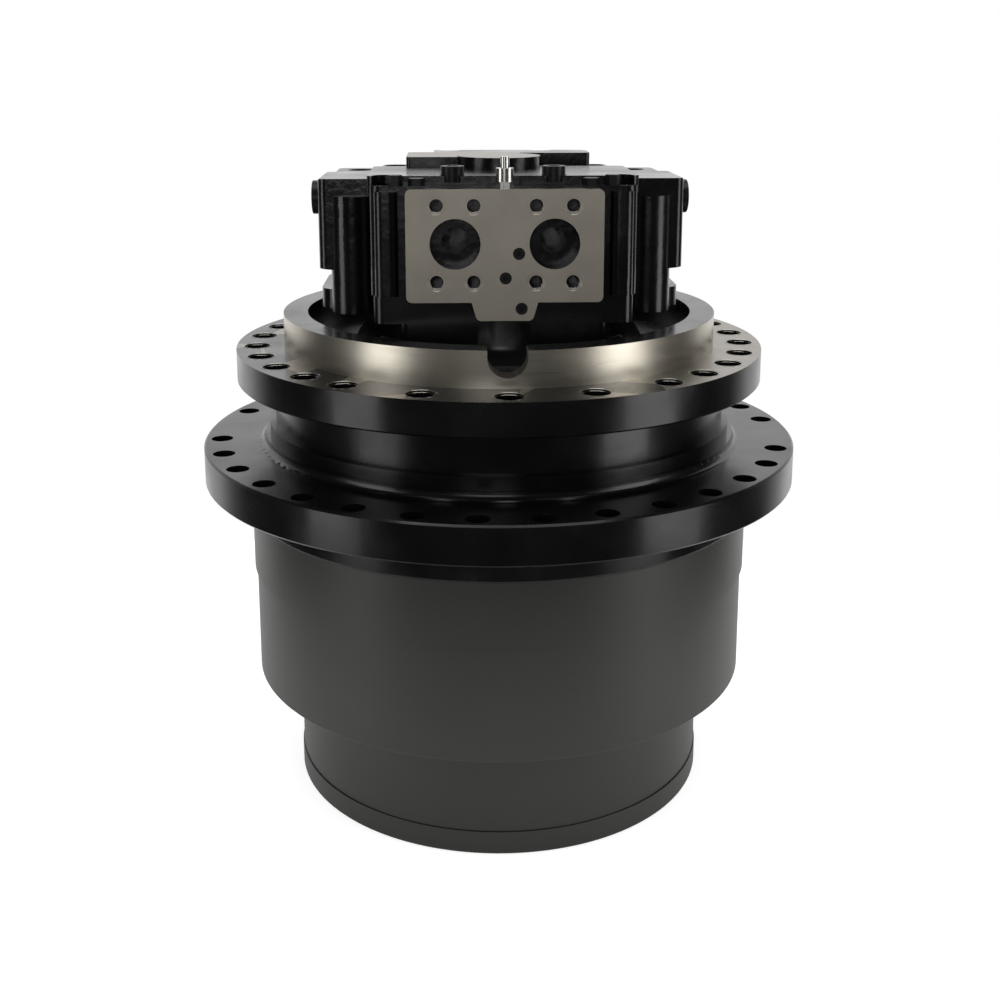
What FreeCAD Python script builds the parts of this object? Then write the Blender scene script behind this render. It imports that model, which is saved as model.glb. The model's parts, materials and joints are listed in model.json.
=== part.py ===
"""Crawler excavator final drive: a two-speed axial piston motor on a two-stage planetary reduction.

Millimetres. The drive stands on its end cover. +Z runs up the common axis to the valve block, and the
valve block's port face looks along -Y. Angles of hole patterns are counted from the front (-Y),
positive towards +X. The frame side (spindle, motor case, valve block, carrier 2) stays still. The hub
side (hub, both ring gears, end cover) turns on two taper roller bearings.
"""
import FreeCAD
import Part
import math
import os

V = FreeCAD.Vector
UP = V(0, 0, 1)
FRONT = V(0, -1, 0)
AXIS = V(0, 0, 0)

# ---- clearances ------------------------------------------------------------------------------------
fit = 0.05  # radial, between a shaft or ring and its seat, and in running fits
apart = 0.3  # between pieces that move past each other without touching
seat = 0.2  # between the stacked brake plates, and between sealing faces
loose = 1.5  # screws in their clearance holes, on diameter
edge = 1.5  # chamfer on the outer edges of turned castings

# ---- gears: module, teeth, widths ------------------------------------------------------------------
pressure_angle = 25.0
addendum = 0.85  # modules
dedendum = 1.15
backlash = 0.12  # each flank is cut back by this, at the pitch circle
module_1, ring_1_teeth, sun_1_teeth, planet_1_teeth = 4.5, 62, 10, 26
module_2, ring_2_teeth, sun_2_teeth, planet_2_teeth = 6.0, 54, 12, 21
planets = 3
planet_1_w, planet_2_w = 42.0, 50.0
washer_h = 1.6
washer_play = 0.2
washer_wide = 10.0  # from the bush's outside to the washer's
ring_1_pitch_r = module_1 * ring_1_teeth / 2
ring_2_pitch_r = module_2 * ring_2_teeth / 2

# ---- hub side: heights and outer radii, outwards from the gears ------------------------------------
cover_h = 19.5
drum_1_h = 78.0
drum_2_h = 92.2
hub_drum_h = 50.3
sprocket_pilot_h = 26.7
sprocket_flange_h = 30.6
shoulder_h = 7.2
neck_h = 10.0
lip_h = 30.5
ring_1_rim = 35.5  # from the pitch circle to the drum's outside
ring_2_rim = 48.0
ring_2_relief = 9.0  # from the pitch circle to the plain bore above the teeth
cover_lip = 1.0
hub_lip = 2.0  # how far the hub stands out over the large drum
pilot_step = 1.5
pilot_chamfer = 2.0
sprocket_flange_w = 36.5
sprocket_hole_in = 14.4  # from the flange's edge to the hole circle
sprocket_hole_r = 9.0
sprocket_pitch = 11.25  # degrees
sprocket_gap = 7  # the place, counted from the front, that has no hole, nor has the one opposite
hub_wall = 42.0  # from the bearing seat to the hub's outside
lip_wall = 12.0
neck_step = 5.0
shoulder_step = 4.0
shoulder_fillet = 6.0

drum_1_r = ring_1_pitch_r + ring_1_rim
drum_2_r = ring_2_pitch_r + ring_2_rim
cover_r = drum_1_r + cover_lip
hub_r = drum_2_r + hub_lip
sprocket_pilot_r = hub_r + pilot_step
sprocket_flange_r = sprocket_pilot_r + sprocket_flange_w
sprocket_circle_r = sprocket_flange_r - sprocket_hole_in
ring_2_bore_r = ring_2_pitch_r + ring_2_relief

drum_1_z = cover_h
drum_2_z = drum_1_z + drum_1_h
hub_z = drum_2_z + drum_2_h
pilot_z = hub_z + hub_drum_h
sprocket_z = pilot_z + sprocket_pilot_h
sprocket_top = sprocket_z + sprocket_flange_h
shoulder_top = sprocket_top + shoulder_h
neck_top = shoulder_top + neck_h
hub_top = neck_top + lip_h

# ---- main bearings, nut and floating seal ----------------------------------------------------------
bearing_section = 40.0  # from the bore to the outside
bearing_w = 38.0
bearing_cone_rib = 4.0  # width of the inner ring's ribs
small_rib_h, wide_rib_h = 2.5, 5.0
cone_wall = 10.5  # inner ring at the small end of the rollers
cup_wall = 16.0  # outer ring at its thick end
cup_set = 1.0  # the outer ring starts this far inside the bearing's wide end
raceway_slope = 3.0  # rise of the inner raceway over the ring's width
cup_slope = 6.0
rollers = 26
roller_rest = 0.15  # clearance of a roller in its raceways
roller_wide_play, roller_small_play = 2.0, 1.5  # between a roller's ends and the ribs
shoulder_between = 10.0  # hub's shoulder between the two bearings
low_bearing_in = 26.3  # from the hub's lower face to the lower bearing
cup_stop = 1.5  # upper bearing under the seal cavity
nut_w = 14.0
nut_over = 16.0
nut_thread_step = 3.0
nut_slots = 4
nut_slot_w, nut_slot_depth = 12.0, 8.0
thread_play = 0.2
seal_step = 8.0  # from the bearing seat to the seal cavity
seal_cavity_low = 13.0  # depth below the hub lip's top
seal_cavity_high = 17.0  # depth above the frame flange's underside
seal_cord_r = 5.5
seal_w = 21.0
seal_face_in = 4.0
seal_face_h = 3.2
seal_ring_h = 14.0
seal_room = 7.0  # between the seal rings and the spindle

bearing_outer_r = hub_r - hub_wall
bearing_bore_r = bearing_outer_r - bearing_section
raceway_small_r = bearing_bore_r + cone_wall
cup_small_r = bearing_outer_r - cup_wall
hub_shoulder_r = bearing_outer_r - shoulder_between
bearing_low_z = hub_z + low_bearing_in
bearing_high_z = hub_top - seal_cavity_low - cup_stop - bearing_w
nut_thread_r = bearing_bore_r - nut_thread_step
nut_r = bearing_bore_r + nut_over
seal_cavity_r = bearing_outer_r + seal_step
seal_inner_r = seal_cavity_r - seal_w
seal_face_r = seal_cavity_r - seal_face_in
lip_r = seal_cavity_r + lip_wall
neck_r = lip_r + neck_step
shoulder_r = neck_r + shoulder_step

# ---- frame side: flange, pilot ring, motor case ----------------------------------------------------
hub_gap = 5.1  # open seam between hub lip and frame flange
flange_h = 26.6
flange_w = 39.5
pilot_over_seal = 3.0
pilot_wall = 20.0
pilot_h = 28.2
well_floor = 3.5  # height of the well's floor over the flange face
notch_w = 29.5
notch_depth = 20.4
frame_hole_r = 10.5
frame_hole_in = 17.0  # from the flange's edge to the hole circle
frame_angles = [0, 18, 36, 48, 60, 72, 84, 96, 108, 120, 132, 144, 162, 180]  # mirrored left and right
case_wall = 12.0
case_foot = 8.0
case_foot_h = 14.0
case_over_ring = 29.1  # from the pilot ring's top to the joint with the valve block
case_flange_h = 22.0
case_step = 1.5  # the case flange stands back this far under the valve block
case_front_x, case_front_y = 82.0, 112.0  # flat front wall below the case flange
case_lug_x0, case_lug_x1, case_lug_z, case_lug_h = 76.0, 96.0, 28.0, 8.0  # z counts down from the flange
ear_x, ear_y, ear_h, ear_corner = 146.0, 46.0, 16.0, 16.0
column_r, column_x, column_y = 18.0, 118.0, 54.0  # round columns under the wings

pilot_r = seal_cavity_r + pilot_over_seal
flange_r = pilot_r + flange_w
pilot_bore_r = pilot_r - pilot_wall
frame_circle_r = flange_r - frame_hole_in
flange_z = hub_top + hub_gap
flange_top = flange_z + flange_h
pilot_top = flange_top + pilot_h
case_top = pilot_top + case_over_ring
case_flange_z = case_top - case_flange_h

# ---- brake, motor and shaft: heights go down from the case's top -----------------------------------
motor_bore_r = 94.0
brake_step = 4.0  # each wider bore of the brake
brake_piston_room = 26.0
brake_stack_room = 20.0
block_under_top = 6.0
block_h = 68.0
bore_floor = 10.0
swash_under_block = 20.0
swash_room = 72.0  # from the tilt axis to the case's floor
brake_bore_r = motor_bore_r + brake_step
brake_piston_bore_r = brake_bore_r + brake_step
case_r = brake_piston_bore_r + case_wall
case_foot_r = case_r + case_foot
brake_piston_z = case_top - brake_piston_room
brake_floor_z = brake_piston_z - brake_stack_room
block_top = case_top - block_under_top
block_z = block_top - block_h
bore_bottom_z = block_top - bore_floor
swash_z = block_z - swash_under_block  # height of the swash plate's tilt axis, which runs along X
motor_floor_z = swash_z - swash_room

swash_angle = 15.0  # full displacement, stored position
swash_r = 75.0
swash_plane = 14.0  # from the tilt axis down to the shoes' running face
swash_plate_h = 8.0
swash_window_low, swash_window_high = 21.0, 6.0  # room round the shaft at the window's two ends
cradle_r = 62.0
cradle_w = 124.0
cradle_rail_w = 26.0
cradle_rail_h = 28.0
cradle_rail_y = 100.0
pistons = 9
piston_first = 20.0  # degrees from +X to the first bore
piston_circle_r = 44.0
piston_r = 11.0
piston_len = 62.0
ball_r = 8.0
ball_neck = 0.62, 0.72  # of the ball's and the piston's radius, at the neck's two ends
neck_start, neck_end = 5.5, 2.5  # from the ball's centre, and past the ball's top
shoe_r = 12.5
shoe_h = 4.0
shoe_cup_r = 10.5
shoe_mouth = 0.78  # of the cup's radius
shoe_over_ball = 3.0
retainer_h = 4.0
retainer_r = 59.0
retainer_play = 1.2
guide_r = 27.0
guide_wall = 3.0
guide_top = 12.0
block_r = 66.0
block_spline_h = 3.0
block_spline_teeth = 24
spline_over = 6.0, 2.0  # the block's spline runs past the brake's floor and past the piston's seat
kidney_w = 10.0
kidney_angles = [-60, -30, 0, 30, 60]  # from the middle of each kidney slot
shaft_r = 21.0
shaft_bearing_w = 22.0
shaft_bearing_outer_r = 45.0
shaft_bearing_under = 24.0  # below the case's floor
bearing_shoulder_h = 2.0
seal_bore_r = 40.0
seal_room_h = 16.0
oil_space_r = 80.0
coupling_r = 24.0
coupling_bore_r = 16.0
coupling_len = 34.0  # below the front bearing
coupling_bore_h = 38.0
coupling_teeth = 16
front_seat_r = 25.0
front_collar_r, front_collar_h = 30.0, 6.0
rear_seat_r = 17.5
rear_bearing_outer_r = 31.0
rear_bearing_up = 8.0
rear_bearing_w = 18.0
rear_bearing_room = 4.0
shaft_over_case = 30.0
race_h = 5.0
shaft_rollers = 14
shaft_roller_in = 3.0
valve_plate_r = 62.0
nose_below_bearing = 30.0
nose_spline_h = 3.0
nose_spline_teeth = 30
nose_h = 14.0
flare_h = 8.0  # cone between the upper bearing's stop and the seal's room
flare_under = 7.0
bearing_stop = 12.0
plate_h = 3.0
friction_discs = 2
disc_play = 4.0  # between the discs and the case
separator_over_spline = 5.0
lug_r = 5.5
lugs = 4
lug_first = 45.0
brake_nose_in = 2.0
brake_piston_h = 16.0
spring_h = 2.5
spring_edge = 2.0
spring_out = 1.0
control_r = 9.0
control_in = 9.0  # from the swash plate's rim
control_depth = 23.0
control_boss_r, control_boss_h = 15.0, 8.0

control_y = swash_r - control_in
block_spline_r = block_r + block_spline_h
lug_circle_r = brake_bore_r
disc_outer_r = brake_bore_r - disc_play
separator_inner_r = block_spline_r + separator_over_spline
brake_nose_r = disc_outer_r - brake_nose_in
brake_nose_inner_r = separator_inner_r + brake_nose_in
shaft_bearing_z = motor_floor_z - shaft_bearing_under
oil_space_top = shaft_bearing_z - seal_room_h
shaft_bottom_z = shaft_bearing_z - coupling_len
coupling_bore_top = shaft_bottom_z + coupling_bore_h
shaft_top_z = case_top + shaft_over_case
rear_bearing_z = case_top + rear_bearing_up
rear_bearing_top = rear_bearing_z + rear_bearing_w + rear_bearing_room
control_bottom_z = motor_floor_z - control_depth
control_boss_top = motor_floor_z + control_boss_h
cradle_rail_top = motor_floor_z + cradle_rail_h
spindle_nose_z = bearing_low_z - nose_below_bearing
nose_spline_tip = nut_thread_r
nose_spline_r = nose_spline_tip - nose_spline_h

# ---- carriers, pins and suns -----------------------------------------------------------------------
planet_1_over_cover = 23.3
planet_2_over_web = 16.5
sun_under = 0.8
sun_over = 2.2
ring_2_teeth_over = 4.0  # the teeth run past the planets
planet_1_z = cover_h + planet_1_over_cover
planet_2_z = drum_2_z + planet_2_over_web
sun_1_z = planet_1_z - sun_under
sun_1_top = planet_1_z + planet_1_w + sun_over
sun_2_z = sun_1_top
ring_2_teeth_top = planet_2_z + planet_2_w + ring_2_teeth_over
sun_2_bore_r = 20.0
sun_ring_play = 3.0  # between a sun's teeth and the carrier's lower plate
stem_r = 15.0
stem_waist = 1.5
stem_spline = 2.0
stem_end_play = 3.0
web_in = 12.0  # from the large ring's pitch circle to the web's bore
web_h = 14.5
web_inner_r = ring_2_pitch_r - web_in
pin_1_r, bush_1_r = 16.0, 22.0
pin_2_r, bush_2_r = 25.0, 32.0
bush_gap = 0.05
carrier_1_in, carrier_2_in = 11.5, 16.0  # from the ring's pitch circle to the carrier's edge
carrier_1_low_h, carrier_1_high_h = 13.0, 10.4
carrier_2_low_h, carrier_2_high_h = 12.5, 20.0
carrier_2_window_r = 44.0
collar_wall = 19.0
pillar_1_r, pillar_1_in = 18.0, 22.0
pillar_2_r, pillar_2_in = 22.0, 25.0
thrust_button_r = 14.0
carrier_1_r = ring_1_pitch_r - carrier_1_in
carrier_2_r = ring_2_pitch_r - carrier_2_in
carrier_collar_r = nose_spline_tip + collar_wall

# ---- screws: diameter, head, key -------------------------------------------------------------------
cover_screw_in, hub_screw_in = 15.0, 18.0  # from the drum's outside to the screw circle
cover_screw = {"count": 16, "circle": drum_1_r - cover_screw_in, "d": 12.0, "head_r": 9.0, "head_h": 12.0,
               "key": 10.0}
hub_screw = {"count": 20, "circle": drum_2_r - hub_screw_in, "d": 16.0, "head_r": 12.0, "head_h": 16.0,
             "key": 14.0}
block_screw = {"d": 12.0, "head_r": 9.0, "head_h": 12.0, "key": 10.0}
top_screw = {"d": 8.0, "head_r": 9.0, "head_h": 12.0, "key": 10.0}
head_room = 1.0  # round a sunk head
screw_recess = 0.6  # how far a sunk head stays below the face
screw_end_room = 1.0
hub_screw_grip = 26.0
hub_thread_room = 4.0
plug_circle_r = 100.0
plug_r, plug_h, plug_key = 15.0, 12.0, 12.0
plug_angles = [0, 90, 180]

# ---- valve block: heights go up from the joint with the motor case ---------------------------------
block_up = 83.0
plateau_up, land_low_up, land_high_up, boss_up = 6.5, 14.5, 14.0, 15.5  # above the block's top
block_x, corner_r = 101.5, 9.0
wall_y = 115.0  # front wall
back_y = 118.0
neck_x, neck_front, neck_back, block_neck_h, neck_corner = 136.0, 54.0, 76.0, 12.0, 12.0
wing_x, wing_front, wing_mid, wing_up, wing_corner = 145.0, 64.0, 12.0, 1.5, 7.0
rear_wing_x, rear_wing_back = 138.0, 74.0
wing_slope = 3.0  # the wings' undersides rise outwards
plateau_x, plateau_front, plateau_back, plateau_corner = 104.0, 100.0, 4.0, 6.0
rib_x0, rib_x1, rib_front, rib_corner, rib_under = 80.0, 98.0, 121.0, 7.0, 4.0  # beside the port face
boss_r = 34.5
land_low = -77.0, 20.0, -4.0, 62.0  # x from, to, y from, to
land_high = -55.0, 82.0, 58.0, 102.0
land_corner = 4.0
pad_x, pad_y, pad_below, pad_under_top, pad_corner = 74.0, 130.0, 3.0, 1.0, 4.5
tongue_top_x, tongue_bottom_x, tongue_h = 25.0, 21.0, 14.0
port_x, port_under_top = 37.2, 40.9
port_r, port_depth, core_r, core_end = 19.0, 22.0, 10.0, 40.0
port_bolt_x, port_bolt_z, port_bolt_r, port_bolt_depth = 27.76, 57.15, 5.1, 24.0
port_plugs = [(10.5, -7.3), (0.5, -25.7), (12.6, -48.9)]  # from the middle of the port pair
port_plug_r, port_plug_depth, port_plug_key = 4.6, 8.0, 4.0
top_screw_x, top_screw_y, top_screw_len, top_screw_sunk = 38.8, 92.0, 14.0, 5.0
strip_plugs = [(82.0, 109.0, 9.5, 8.0), (66.0, 107.5, 11.0, 5.5)]  # x, depth to front, across, height
strip_plug_thread_r, strip_plug_thread = 3.5, 9.0
block_screws = [(89.0, 98.0), (89.0, -104.0), (118.0, -52.0), (41.0, -105.0)]  # right half: x, depth to front
block_screw_sunk = 14.0
spool_y, spool_under_top, spool_r, spool_len, spool_travel = 38.0, 15.0, 9.0, 220.0, 8.0
spool_end_room = 2.0
spool_grooves = [-62.0, -20.0, 20.0, 62.0]
spool_groove_w, spool_groove_depth = 16.0, 4.0
cap_r, cap_out = 13.5, 6.0
speed_under_top, speed_r, speed_len, speed_travel, speed_end_room = 31.0, 7.0, 34.0, 6.0, 9.0
speed_plug_in, speed_plug_hex, speed_plug_h = 8.0, 19.0, 8.0
relief_x, relief_under_top, relief_r, relief_len, relief_hex = 66.0, 39.0, 12.0, 34.0, 32.0
relief_head_h, relief_nose_r, relief_nose_h = 14.0, 8.0, 12.0
bleed_y, bleed_hex, bleed_knob_r, bleed_stem_r, bleed_thread_r = 122.5, 12.0, 6.75, 3.4, 4.0
bleed_hex_h, bleed_knob_h, bleed_stem_h, bleed_thread = 5.0, 10.0, 8.5, 12.0

block_top_z = case_top + block_up
plateau_z = block_top_z + plateau_up
boss_top = block_top_z + boss_up
neck_z = case_top + block_neck_h
wing_top = block_top_z + wing_up
pad_z0 = case_top - pad_below
pad_z1 = block_top_z - pad_under_top
tongue_z = pad_z0 - tongue_h
port_z = pad_z1 - port_under_top
spool_z = block_top_z - spool_under_top
speed_z = block_top_z - speed_under_top
relief_z = block_top_z - relief_under_top


# ---- shape helpers ---------------------------------------------------------------------------------
def save(name, *shapes):
    solids = [s for shape in shapes for s in shape.Solids]
    shape = solids[0] if len(solids) == 1 else Part.makeCompound(solids)
    shape.exportStep(os.path.join("parts", name + ".step"))


def rod(radius, z0, z1, x=0.0, y=0.0):
    return Part.makeCylinder(radius, z1 - z0, V(x, y, z0), UP)


def ring(inner, outer, z0, z1, x=0.0, y=0.0):
    return rod(outer, z0, z1, x, y).cut(rod(inner, z0, z1, x, y))


def turned(section):
    """Solid of revolution about Z of a closed outline of (radius, height) points."""
    points = [V(r, 0, z) for r, z in section]
    face = Part.Face(Part.makePolygon(points + points[:1]))
    return face.revolve(AXIS, UP, 360)


def prism(points, z0, z1):
    outline = [V(x, y, z0) for x, y in points]
    return Part.Face(Part.makePolygon(outline + outline[:1])).extrude(V(0, 0, z1 - z0))


def box(x0, x1, y0, y1, z0, z1):
    return Part.makeBox(x1 - x0, y1 - y0, z1 - z0, V(x0, y0, z0))


def slab(x0, x1, y0, y1, z0, z1, radius):
    """Upright block with round vertical corners."""
    body = box(x0, x1, y0, y1, z0, z1)
    upright = [e for e in body.Edges if abs(e.tangentAt(e.FirstParameter).z) > 0.99]
    return body.makeFillet(radius, upright)


def place(radius, angle):
    """Point on a circle, angle in degrees from the front, positive towards +X."""
    a = math.radians(angle)
    return radius * math.sin(a), -radius * math.cos(a)


def around(count, start=0.0):
    return [start + 360.0 * i / count for i in range(count)]


def joined(shapes):
    shapes = list(shapes)
    return shapes[0] if len(shapes) == 1 else shapes[0].multiFuse(shapes[1:])


def without(solid, cutters):
    return solid.cut(Part.makeCompound(list(cutters)))


def hex_prism(across, z0, z1, x=0.0, y=0.0):
    corner = across / math.sqrt(3)
    points = [(x + corner * math.cos(math.radians(60 * i)), y + corner * math.sin(math.radians(60 * i)))
              for i in range(6)]
    return prism(points, z0, z1)


def cap_screw(screw, head_z, tip_z, x, y, upward):
    """Socket head screw; upward says whether its shank points up from a head that is below."""
    sense = 1 if upward else -1
    seat_z = head_z + sense * screw["head_h"]
    head = rod(screw["head_r"], min(head_z, seat_z), max(head_z, seat_z), x, y)
    socket_z = head_z + sense * screw["head_h"] * 0.5
    head = head.cut(hex_prism(screw["key"], min(head_z, socket_z), max(head_z, socket_z), x, y))
    return head.fuse(rod(screw["d"] / 2, min(seat_z, tip_z), max(seat_z, tip_z), x, y))


def to_front(shape, x, z, y=0.0):
    """Turns a piece made along +Z at the origin so that its +Z looks out of the front face."""
    turned_shape = shape.copy()
    turned_shape.rotate(AXIS, V(1, 0, 0), 90)
    turned_shape.translate(V(x, y, z))
    return turned_shape


def tilted(shape):
    """From the swash plate's own frame to its stored tilt."""
    result = shape.copy()
    result.rotate(V(0, 0, swash_z), V(1, 0, 0), swash_angle)
    return result


# ---- gears -----------------------------------------------------------------------------------------
def tooth_half_angle(radius, teeth, module, slack):
    """Half the angle that an involute tooth takes up at a radius."""
    pitch = teeth * module / 2
    base = pitch * math.cos(math.radians(pressure_angle))
    at_pitch = math.radians(pressure_angle)
    here = math.acos(min(1.0, base / radius))
    involute = (math.tan(at_pitch) - at_pitch) - (math.tan(here) - here)
    return math.pi / (2 * teeth) + involute - slack / pitch


def tooth_outline(teeth, module, phase, inner, outer, slack):
    """Closed outline with three points a flank. Teeth stand between the radii inner and outer, and the
    first one is centred on the angle phase (radians from +X)."""
    pitch = teeth * module / 2
    levels = [inner, pitch, outer]
    points = []
    for i in range(teeth):
        centre = phase + 2 * math.pi * i / teeth
        rise = [(r, centre - tooth_half_angle(r, teeth, module, slack)) for r in levels]
        fall = [(r, centre + tooth_half_angle(r, teeth, module, slack)) for r in reversed(levels)]
        points += [(r * math.cos(a), r * math.sin(a)) for r, a in rise + fall]
    return points


def spur_gear(teeth, module, phase, z0, z1):
    pitch = teeth * module / 2
    outline = tooth_outline(teeth, module, phase, pitch - dedendum * module, pitch + addendum * module,
                            backlash)
    return prism(outline, z0, z1)


def ring_gear_cutter(teeth, module, z0, z1):
    """The space inside a ring gear: its first gap is centred on the direction of the first planet."""
    pitch = teeth * module / 2
    outline = tooth_outline(teeth, module, planet_direction(0), pitch - addendum * module,
                            pitch + dedendum * module, -backlash)
    return prism(outline, z0, z1)


def planet_direction(i):
    """Angle of planet i from +X, in radians; the first stands at the back."""
    return math.pi / 2 + 2 * math.pi * i / planets


def planet_place(i, sun_teeth, planet_teeth, module):
    radius = (sun_teeth + planet_teeth) * module / 2
    a = planet_direction(i)
    return radius * math.cos(a), radius * math.sin(a)


def planet_phase(i, ring_teeth, planet_teeth):
    """Tooth direction that meshes planet i with the ring gear and the sun gear."""
    swing = planet_direction(i) - planet_direction(0)
    return planet_direction(i) - swing * ring_teeth / planet_teeth


def planet_gear(i, ring_teeth, sun_teeth, planet_teeth, module, z0, width, bore):
    x, y = planet_place(i, sun_teeth, planet_teeth, module)
    gear = spur_gear(planet_teeth, module, planet_phase(i, ring_teeth, planet_teeth), z0, z0 + width)
    gear = gear.cut(rod(bore, z0, z0 + width))
    gear.translate(V(x, y, 0))
    return gear


def sun_phase(sun_teeth, planet_teeth):
    """A gap of the sun gear faces the first planet where that planet's teeth are even in number."""
    half_tooth = math.pi / sun_teeth
    return planet_direction(0) + (half_tooth if planet_teeth % 2 == 0 else 0.0)


def spline_outline(teeth, root, tip, slack=0.0):
    """Straight-sided spline; slack widens the teeth's gaps to leave clearance."""
    points = []
    for i in range(teeth):
        centre = 2 * math.pi * i / teeth
        for radius, share in ((root, -0.30), (tip, -0.22), (tip, 0.22), (root, 0.30)):
            a = centre + share * 2 * math.pi / teeth + math.copysign(slack / radius, share)
            points.append((radius * math.cos(a), radius * math.sin(a)))
    return points


# ---- hub side --------------------------------------------------------------------------------------
def sprocket_hole_angles():
    """Every place of the full circle but the two that stand square to the front."""
    count = round(360 / sprocket_pitch)
    angles = [sprocket_pitch * (i + 0.5) for i in range(count)]
    missing = {sprocket_gap, sprocket_gap + count // 2}
    return [a for i, a in enumerate(angles) if i not in missing]


def make_hub():
    inner_low = bearing_low_z + bearing_w
    cavity_z = hub_top - seal_cavity_low
    section = [
        (bearing_outer_r, hub_z), (hub_r, hub_z), (hub_r, pilot_z), (sprocket_pilot_r - edge, pilot_z),
        (sprocket_pilot_r, pilot_z + pilot_chamfer), (sprocket_pilot_r, sprocket_z),
        (sprocket_flange_r - edge, sprocket_z), (sprocket_flange_r, sprocket_z + edge),
        (sprocket_flange_r, sprocket_top - edge), (sprocket_flange_r - edge, sprocket_top),
        (shoulder_r, sprocket_top), (shoulder_r, shoulder_top), (neck_r, shoulder_top),
        (neck_r, neck_top), (lip_r, neck_top), (lip_r, hub_top), (seal_cavity_r, hub_top),
        (seal_cavity_r, cavity_z), (bearing_outer_r, cavity_z), (bearing_outer_r, bearing_high_z),
        (hub_shoulder_r, bearing_high_z), (hub_shoulder_r, inner_low), (bearing_outer_r, inner_low),
    ]
    hub = turned(section)
    foot = [e for e in hub.Edges if e.Curve.TypeId == "Part::GeomCircle"
            and abs(e.Curve.Radius - shoulder_r) < fit and abs(e.Curve.Center.z - sprocket_top) < fit]
    hub = hub.makeFillet(shoulder_fillet, foot)
    holes = [rod(sprocket_hole_r, sprocket_z, sprocket_top, *place(sprocket_circle_r, a))
             for a in sprocket_hole_angles()]
    thread_top = hub_z + hub_screw_grip + hub_thread_room
    threads = [rod(hub_screw["d"] / 2 + fit, hub_z, thread_top, *place(hub_screw["circle"], a))
               for a in around(hub_screw["count"])]
    return without(hub, holes + threads)


def make_ring_gear_2():
    web_top = drum_2_z + web_h
    section = [(web_inner_r, drum_2_z), (drum_2_r - edge, drum_2_z), (drum_2_r, drum_2_z + edge),
               (drum_2_r, hub_z), (ring_2_bore_r, hub_z), (ring_2_bore_r, ring_2_teeth_top),
               (web_inner_r, ring_2_teeth_top)]
    drum = turned(section).cut(ring_gear_cutter(ring_2_teeth, module_2, web_top, ring_2_teeth_top))
    sink = hub_screw["head_h"] + screw_recess
    cutters = []
    for a in around(hub_screw["count"]):
        x, y = place(hub_screw["circle"], a)
        cutters.append(rod(hub_screw["d"] / 2 + loose / 2, drum_2_z, hub_z, x, y))
        cutters.append(rod(hub_screw["head_r"] + head_room, drum_2_z, drum_2_z + sink, x, y))
    for a in around(cover_screw["count"]):
        x, y = place(cover_screw["circle"], a)
        cutters.append(rod(cover_screw["d"] / 2 + fit, drum_2_z, web_top, x, y))
    return without(drum, cutters)


def make_ring_gear_1():
    drum = rod(drum_1_r, drum_1_z, drum_2_z)
    drum = drum.cut(ring_gear_cutter(ring_1_teeth, module_1, drum_1_z, drum_2_z))
    holes = [rod(cover_screw["d"] / 2 + loose / 2, drum_1_z, drum_2_z, *place(cover_screw["circle"], a))
             for a in around(cover_screw["count"])]
    return without(drum, holes)


def make_end_cover():
    cover = turned([(0, 0), (cover_r - edge, 0), (cover_r, edge), (cover_r, cover_h), (0, cover_h)])
    cutters = []
    for a in around(cover_screw["count"]):
        x, y = place(cover_screw["circle"], a)
        cutters.append(rod(cover_screw["d"] / 2 + loose / 2, 0, cover_h, x, y))
        cutters.append(rod(cover_screw["head_r"] + head_room, 0, cover_screw["head_h"] + screw_recess, x, y))
    for a in plug_angles:
        cutters.append(rod(plug_r, 0, cover_h, *place(plug_circle_r, a)))
    return without(cover, cutters)


def make_cover_plugs():
    plugs = []
    for a in plug_angles:
        x, y = place(plug_circle_r, a)
        plug = rod(plug_r - fit, screw_recess, screw_recess + plug_h, x, y)
        plugs.append(plug.cut(hex_prism(plug_key, screw_recess, screw_recess + plug_h / 2, x, y)))
    return plugs


def make_cover_screws():
    tip = drum_2_z + web_h - screw_end_room
    return [cap_screw(cover_screw, screw_recess, tip, *place(cover_screw["circle"], a), True)
            for a in around(cover_screw["count"])]


def make_hub_screws():
    head_z = drum_2_z + screw_recess
    return [cap_screw(hub_screw, head_z, hub_z + hub_screw_grip, *place(hub_screw["circle"], a), True)
            for a in around(hub_screw["count"])]


# ---- main bearings and floating seal ---------------------------------------------------------------
def main_bearing(low):
    """(low z, sense): the wide end of each taper faces away from the hub's shoulder."""
    return (bearing_low_z, 1) if low else (bearing_high_z + bearing_w, -1)


def bearing_turned(section, low):
    """Section heights are counted from the bearing's wide end."""
    z, sense = main_bearing(low)
    return turned([(r, z + sense * h) for r, h in section])


def inner_ring_section():
    w, rib = bearing_w, bearing_cone_rib
    wide = raceway_small_r + raceway_slope
    return [(bearing_bore_r + fit, 0), (bearing_bore_r + fit, w), (raceway_small_r + small_rib_h, w),
            (raceway_small_r + small_rib_h, w - rib), (raceway_small_r, w - rib), (wide, rib),
            (wide + wide_rib_h, rib), (wide + wide_rib_h, 0)]


def outer_ring_section():
    w = bearing_w
    return [(bearing_outer_r - fit, cup_set), (bearing_outer_r - fit, w), (cup_small_r, w),
            (cup_small_r + cup_slope, cup_set)]


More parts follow.
